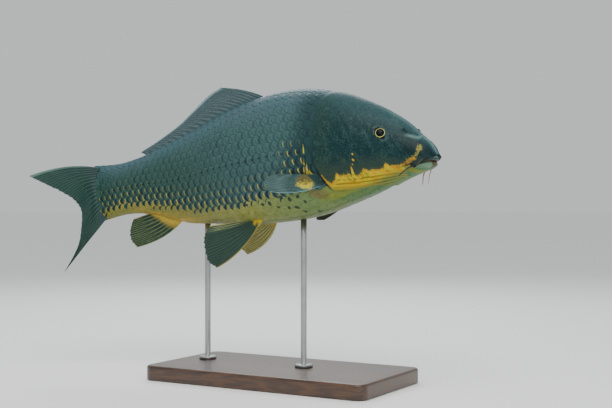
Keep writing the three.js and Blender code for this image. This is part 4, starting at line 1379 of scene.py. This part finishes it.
# what a fin has unless it says otherwise: foot, spine and wave are thicknesses in millimetres
finPlain = {
    "foot": 1.9, "rows": 52, "spine": 0.45, "wave": 0.8, "clear": 0.05, "rayFrom": 0.22, "footReach": 0.22,
    "half": 0.26,                   # half the thickness of the skin between the rays at the root
    "edge": 0.012,                  # share of the fin over which its edges are rounded off
}
finShapes = {
    "dorsal_fin": {
        "root": [(0.462, 0, 0.155), (0.56, 0, 0.144), (0.7, 0, 0.107), (0.845, 0, 0.066)],
        "tip": [(0.61, 0, 0.211), (0.652, 0, 0.195), (0.7, 0, 0.165), (0.75, 0, 0.134),
                (0.81, 0, 0.104), (0.866, 0, 0.08)],
        "bow": (-0.004, 0, 0.006), "foot": 2.0, "rays": 21, "columns": 252, "rows": 40,
        "spine": 0.9, "wave": 1.1, "clear": 0.3, "membrane": (64, 90, 94), "ray": (52, 76, 80),
        "lead": (84, 108, 108), "footTone": (52, 78, 82), "rim": (132, 168, 172),
    },
    "anal_fin": {
        "root": [(0.76, 0, -0.112), (0.8, 0, -0.1), (0.845, 0, -0.082)],
        "tip": [(0.905, 0, -0.17), (0.921, 0, -0.15), (0.92, 0, -0.12), (0.908, 0, -0.094)],
        "bow": (-0.008, 0, -0.01), "rays": 8, "columns": 128, "rows": 44, "spine": 0.7,
        "membrane": (18, 44, 40), "ray": (98, 114, 66), "lead": (104, 112, 58),
        "footTone": (188, 160, 48), "trail": (140, 132, 52), "rayFrom": 0.5, "footReach": 0.3,
    },
    "caudal_fin": {
        "root": [(0.985, 0, 0.052), (0.997, 0, 0.03), (1, 0, -0.015), (0.995, 0, -0.062),
                 (0.98, 0, -0.082)],
        "tip": [(1.14, -0.12, 0.042), (1.104, -0.102, 0.016), (1.069, -0.078, -0.009),
                (1.045, -0.06, -0.032), (1.032, -0.052, -0.058), (1.029, -0.07, -0.105),
                (1.034, -0.09, -0.15), (1.046, -0.105, -0.18), (1.07, -0.118, -0.217)],
        "bow": (0, 0.012, 0.016), "foot": 2.4, "rays": 22, "columns": 308, "rows": 56,
        "spine": 0.35, "wave": 0.9, "membrane": (40, 74, 64), "ray": (22, 50, 48),
        # the tail fin's pale lead tone along its top edge is a painted highlight
        "lead": (92, 122, 112), "footTone": (36, 62, 62), "footReach": 0.32,
    },
    "pectoral_fin_right": {
        "root": [(0.265, -0.071, -0.084), (0.28, -0.078, -0.075), (0.297, -0.0885, -0.059)],
        "tip": [(0.404, -0.119, -0.085), (0.417, -0.125, -0.067), (0.407, -0.128, -0.053),
                (0.385, -0.124, -0.048), (0.355, -0.114, -0.05)],
        "bow": (0, -0.005, -0.012), "rays": 15, "columns": 210, "spine": 0.4, "wave": 0.7,
        "clear": 0.3, "membrane": (44, 72, 74), "ray": (84, 116, 112), "lead": (116, 170, 178),
        "footTone": (40, 66, 62), "patch": (218, 202, 66), "ripple": (128, 160, 158),
    },
    "pectoral_fin_left": {
        "root": [(0.265, 0.071, -0.084), (0.28, 0.078, -0.075), (0.297, 0.0885, -0.059)],
        "tip": [(0.428, 0.13, -0.157), (0.456, 0.136, -0.152), (0.446, 0.128, -0.126),
                (0.402, 0.12, -0.102), (0.34, 0.107, -0.083)],
        "bow": (0, 0.004, -0.008), "rays": 15, "columns": 210, "spine": 0.4, "wave": 0.7,
        "clear": 0.15, "membrane": (40, 48, 40), "ray": (56, 62, 44), "lead": (66, 68, 48),
        "footTone": (110, 100, 48),
    },
    "pelvic_fin_right": {
        "root": [(0.5, -0.034, -0.14), (0.514, -0.03, -0.14), (0.53, -0.025, -0.14)],
        "tip": [(0.622, -0.084, -0.25), (0.647, -0.085, -0.232), (0.662, -0.075, -0.195),
                (0.667, -0.062, -0.165), (0.655, -0.05, -0.14)],
        "bow": (-0.012, -0.006, -0.014), "foot": 1.8, "rays": 10, "columns": 160,
        "membrane": (44, 68, 54), "ray": (10, 38, 42), "lead": (150, 132, 40),
        "footTone": (196, 168, 20), "trail": (168, 160, 74), "upper": (176, 184, 124),
        "rayFrom": 0.4, "footReach": 0.12,
    },
    "pelvic_fin_left": {
        "root": [(0.5, 0.034, -0.14), (0.514, 0.03, -0.14), (0.53, 0.025, -0.14)],
        "tip": [(0.63, 0.078, -0.222), (0.65, 0.08, -0.203), (0.652, 0.066, -0.178),
                (0.635, 0.048, -0.16), (0.61, 0.036, -0.156)],
        "bow": (-0.01, 0.008, -0.012), "foot": 1.8, "rays": 10, "columns": 160, "clear": 0.1,
        "membrane": (172, 164, 90), "ray": (86, 88, 50), "lead": (206, 198, 150),
        "footTone": (176, 148, 40),
    },
}


def rayCrests(across, reach, rays, cosineOf, ease):
    # 1 on a ray and 0 between rays; each ray parts in two and then in four toward the margin; it
    # serves numbers and shader wires alike
    single, double, fourfold = (
        (0.5 + cosineOf(across * (rays * turns * math.pi)) * half) ** power
        for turns, half, power in ((2, 0.5, 2.0), (4, -0.5, 1.6), (8, -0.5, 1.4))
    )
    crest = single + (double - single) * ease(reach, 0.32, 0.55)
    return single, double, crest + (fourfold - crest) * ease(reach, 0.66, 0.84)


def makeFin(name, shape):
    # two faces around a fan between the root and tip curves, thick at the foot and thin beyond,
    # with the rays standing up, a notched margin and a slow wave that grows toward the tips
    even = np.linspace(0, 1, shape["columns"] + 1)
    across = ((1 - np.cos(even * math.pi)) / 2 + even) / 2
    reach = np.sin(np.linspace(0, math.pi / 2, shape["rows"] + 1)) ** 0.9
    acrossGrid, reachGrid = np.meshgrid(across, reach)
    crest = rayCrests(acrossGrid, reachGrid, shape["rays"], np.cos, smoothStep)[2]
    rootCrest, tipCrest = crest[0], crest[-1]
    wander = np.interp(across, np.linspace(0, 1, 25), randomness.normal(0, 0.004, 25))
    notch = 0.014 * (1 - tipCrest) + 0.016 * (1 - rootCrest) * np.sin(math.pi * across) + np.abs(wander)
    outward = reachGrid * (1 - notch * reachGrid ** 3)
    root, tip = (curveThrough(shape[key])(acrossGrid) for key in ("root", "tip"))
    bow = (1 - acrossGrid) * 4 * outward * (1 - outward)
    place = root + (tip - root) * outward[..., None] + bow[..., None] * np.array(shape["bow"])
    middle = fishPoint(place[..., 0], place[..., 1], place[..., 2])
    face = unit(np.cross(np.gradient(middle, axis=1), np.gradient(middle, axis=0)))
    wave = np.sin(acrossGrid * 9 + outward * 2.6) * 0.6 + np.sin(acrossGrid * 21 - outward * 4) * 0.25
    middle = middle + face * (wave * shape["wave"] * smoothStep(outward, 0.1, 1.0) * 0.001)[..., None]
    foot = shape["foot"] * (1 - smoothStep(outward, 0.0, 0.3) ** 0.6)
    relief = (0.15 + 0.24 * (1 - outward)) * crest
    spine = shape["spine"] * dip(acrossGrid, 0.02) * (1 - 0.75 * outward)
    half = shape["half"] - 0.08 * outward + relief + spine + foot
    fromEdge = np.minimum(acrossGrid, 1 - acrossGrid)
    half = half * np.sqrt(1 - (1 - np.clip(fromEdge / shape["edge"], 0, 1)) ** 2)
    half = half * np.sqrt(np.clip((1 - reachGrid) / shape["edge"], 0, 1))
    offset = face * (half * 0.001)[..., None]
    fan = np.stack([acrossGrid, outward, 0 * outward], -1)
    points = np.concatenate([middle + offset, (middle - offset)[:, -2:0:-1]], axis=1)
    return fanGrid(name, points, {"fan": np.concatenate([fan, fan[:, -2:0:-1]], axis=1)})


def finSurface(name, shape):
    # the rays' tone where their crest passes rayFrom and the skin's tone between them, a paler
    # leading ray, which on the tail fin is a painted highlight along its top edge, the root's own tone
    # at the foot, and on some fins pale rays at the rear, a rim, a pale trailing ray, ripples and a
    # speckled patch; cross joints along the rays as bump; the skin between the rays is slightly
    # see-through
    material, nodes = newSurface(name, coat=0.05, coatRoughness=0.3, shine=0.25)
    fan = field(nodes, "fan", "Vector")
    across, reach = axisOf(fan, 0), axisOf(fan, 1)
    place = objectPlace(nodes)
    mottle = grain(place, 160)
    fine = grain(stretched(fan, 120, 9, 1), 1.0)
    fineOff, mottleOff = fine - 0.5, mottle - 0.5
    single, double, crest = rayCrests(across, reach, shape["rays"], cosine, fade)
    low, footReach = shape["rayFrom"], shape["footReach"]
    onSingle, onDouble = (fade(rays + fineOff * 0.5, low, low + 0.5) for rays in (single, double))
    shown = onSingle + (onDouble - onSingle) * fade(reach, 0.45, 0.75)
    lead = 1 - fade(across + fineOff * 0.01, 0.012, 0.035)
    colour = blend(shown, shape["membrane"], shape["ray"])
    colour = blend(fade(mottle, 0.4, 0.75) * 0.25, colour, shape["ray"])
    if "upper" in shape:
        high = fade(across, 0.76, 0.84) * shown * (1 - fade(reach, 0.75, 1.0) * 0.8)
        colour = blend(high * 0.7, colour, shape["upper"])
    if "rim" in shape:
        colour = blend(fade(reach, 0.9, 0.95) * 0.8, colour, shape["rim"])
    # the lead tone, on the tail fin a painted highlight along its top edge
    colour = blend(lead * 0.9, colour, shape["lead"])
    if "trail" in shape:
        colour = blend(fade(across, 0.955, 0.985) * 0.85, colour, shape["trail"])
    if "ripple" in shape:
        ripple = fade(sine(across * (shape["rays"] * 2 * math.pi)), 0.3, 0.9)
        colour = blend(ripple * fade(reach, 0.55, 0.75) * 0.6, colour, shape["ripple"])
    foot = 1 - fade(reach + mottleOff * 0.2, footReach * 0.3, footReach)
    colour = blend(foot, colour, shape["footTone"])
    if "patch" in shape:
        speckle = grain(place, 420)
        spot = ((across - 0.52) / 0.48) ** 2.0 + ((reach - 0.275) / 0.15) ** 2.0
        patch = (1 - fade(spot + mottleOff * 1.6 + (speckle - 0.5) * 1.2, 0.6, 1.3)) * (1 - lead)
        patchTone = blend(fade(speckle + across * 0.9, 0.55, 1.1), shape["patch"], (104, 98, 56))
        colour = blend(patch, colour, patchTone)
    joints = sine(reach * 420 + across * 40) * crest * 0.16 * fade(reach, 0.2, 0.35)
    clear = (1 - crest) * fade(reach, 0.12, 0.3) * (1 - lead) * shape["clear"]
    height = crest * 0.8 + joints + fine * 0.3
    connect(material, colour, 0.38 + mottle * 0.16, height, 0.5, 0.0005, 1 - clear)
    return material


for finName, finOwn in finShapes.items():
    finShape = {**finPlain, **finOwn}
    finPiece = makeFin(finName.replace("_fin", "Fin"), finShape)
    finPiece.data.materials.append(finSurface(finName.replace("_fin", "FinSkin"), finShape))
    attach(finPiece, "root")
    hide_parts(finName)
print("fins made")


# The stand: a dark wooden base with rounded edges, and two brushed steel rods on small feet

standShape = {
    "length": 0.33, "width": 0.17, "height": 0.02, "bevel": 0.003, "corner": 0.014,
    "rodRadius": 0.004, "footRadius": 0.012, "footHeight": 0.004, "footEdge": 0.0012,
    "rods": {"stand_rod_front": 0.4, "stand_rod_rear": 0.69},
    "intoBelly": 0.0016, "footGap": 0.0003, "fillet": 0.0008,
    "baseColumns": 96, "rodColumns": 48, "rodRows": 8,
}


def quarterTurn(steps):
    # how far a rounded edge has drawn in, and risen, at each step of a quarter turn
    bend = np.radians(np.linspace(0, 90, steps))
    return 1 - np.sin(bend), 1 - np.cos(bend)


def makeBase(settings):
    # the rounded rectangle's outline, drawn in by each step of the edge profile
    turn = roundAngles(settings["baseColumns"], 0.5)
    bevel, height, corner = settings["bevel"], settings["height"], settings["corner"]
    falling, rising = quarterTurn(7)
    inset = np.concatenate([[0.05, 0.02], bevel * falling, bevel * rising, [0.02, 0.05]])[:, None]
    level = np.concatenate([[0, 0], bevel * rising, height - bevel * falling, [height, height]])[:, None]
    radius = np.maximum(corner - inset, 0.002)
    pull = np.maximum(inset - corner + 0.002, 0)
    sides = []
    for direction, size in ((np.cos(turn), settings["length"]), (np.sin(turn), settings["width"])):
        sides.append(np.sign(direction) * (size / 2 - corner - pull) + radius * direction)
    points = np.stack([*sides, level + 0 * sides[0]], -1)
    return closedGrid("standBase", points, {}, np.zeros(3), np.array([0, 0, height]))


def makeRod(name, along, settings):
    # a profile turned round the rod's axis
    belly = fishPoint(along, 0, bottomAt(along))
    foot = settings["height"] + settings["footGap"]
    edge, rod, footRadius = settings["footEdge"], settings["rodRadius"], settings["footRadius"]
    neck = foot + settings["footHeight"]
    fillet, rows = settings["fillet"], settings["rodRows"]
    top = belly[2] + settings["intoBelly"]
    falling, rising = quarterTurn(6)
    radius = np.concatenate([
        [0.006, footRadius - 0.0002, footRadius], footRadius - edge * rising,
        [rod + 0.0012, rod + 0.0003], np.full(rows, rod), [rod * 0.5],
    ])
    level = np.concatenate([
        [foot, foot, foot + 0.0002], neck - edge * falling,
        [neck, neck + fillet], np.linspace(neck + 2 * fillet, top, rows), [top],
    ])
    turn = roundAngles(settings["rodColumns"])
    x = belly[0] + radius[:, None] * np.cos(turn)
    y = belly[1] + radius[:, None] * np.sin(turn)
    points = np.stack([x, y, level[:, None] + 0 * x], -1)
    return closedGrid(name, points, {}, np.append(belly[:2], foot), np.append(belly[:2], top))


def woodSurface():
    # long grain from stretched noise bent by a broad one, with fine dark pores along it
    material, nodes = newSurface("darkWood", coat=0.35, coatRoughness=0.15)
    place = objectPlace(nodes)
    broad = grain(stretched(place, 2.2, 14, 14), 3.0, 4)
    lines = sine(broad * 46) * 0.5 + 0.5
    pores = grain(stretched(place, 14, 420, 420), 1.0, 2)
    colour = blend(lines * 0.7 + broad * 0.3, (52, 33, 22), (86, 56, 36))
    colour = blend(fade(pores, 0.58, 0.72) * 0.6, colour, (28, 18, 12))
    connect(material, colour, 0.32 + lines * 0.12, pores * -0.4 + lines * 0.2, 0.25, 0.0003)
    return material


def steelSurface():
    # two greys by a cloud of noise, brushed along the rod: streaks in roughness and a fine bump
    material, nodes = newSurface("brushedSteel", metallic=1.0)
    place = objectPlace(nodes)
    streaks = grain(stretched(place, 900, 900, 18), 1.0, 2)
    colour = blend(grain(place, 60), (150, 152, 154), (182, 184, 186))
    connect(material, colour, 0.24 + streaks * 0.16, streaks, 0.2, 0.0002)
    return material


standBase = makeBase(standShape)
standBase.data.materials.append(woodSurface())
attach(standBase, "root")
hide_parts("stand_base")
steel = steelSurface()
for rodName, rodAlong in standShape["rods"].items():
    rodPiece = makeRod(rodName.replace("stand_rod", "standRod"), rodAlong, standShape)
    rodPiece.data.materials.append(steel)
    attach(rodPiece, "root")
    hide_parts(rodName)
print("stand made")


# The floor and the sky

def floorSurface():
    # a pale matt floor with a barely visible cloudiness
    material, nodes = newSurface("studioFloor", roughness=0.9)
    light = (*studio["floorTone"], 1.0)
    dark = (*(value * studio["floorCloud"] for value in studio["floorTone"]), 1.0)
    connect(material, blend(grain(objectPlace(nodes), 3, 2), light, dark))
    return material


floorTurn = roundAngles(studio["floorSides"])
floorEdge = np.stack([np.cos(floorTurn), np.sin(floorTurn), 0 * floorTurn], -1) * studio["floorRadius"]
floorMesh = bpy.data.meshes.new("floor")
floorMesh.from_pydata(floorEdge.tolist(), [], [list(range(studio["floorSides"]))])
floor = addToScene("floor", floorMesh)
floor.data.materials.append(floorSurface())

sky = bpy.data.worlds.new("paleSky")
sky.use_nodes = True
sky.node_tree.nodes["Background"].inputs["Color"].default_value = (*studio["skyTone"], 1.0)
sky.node_tree.nodes["Background"].inputs["Strength"].default_value = studio["skyStrength"]
bpy.context.scene.world = sky
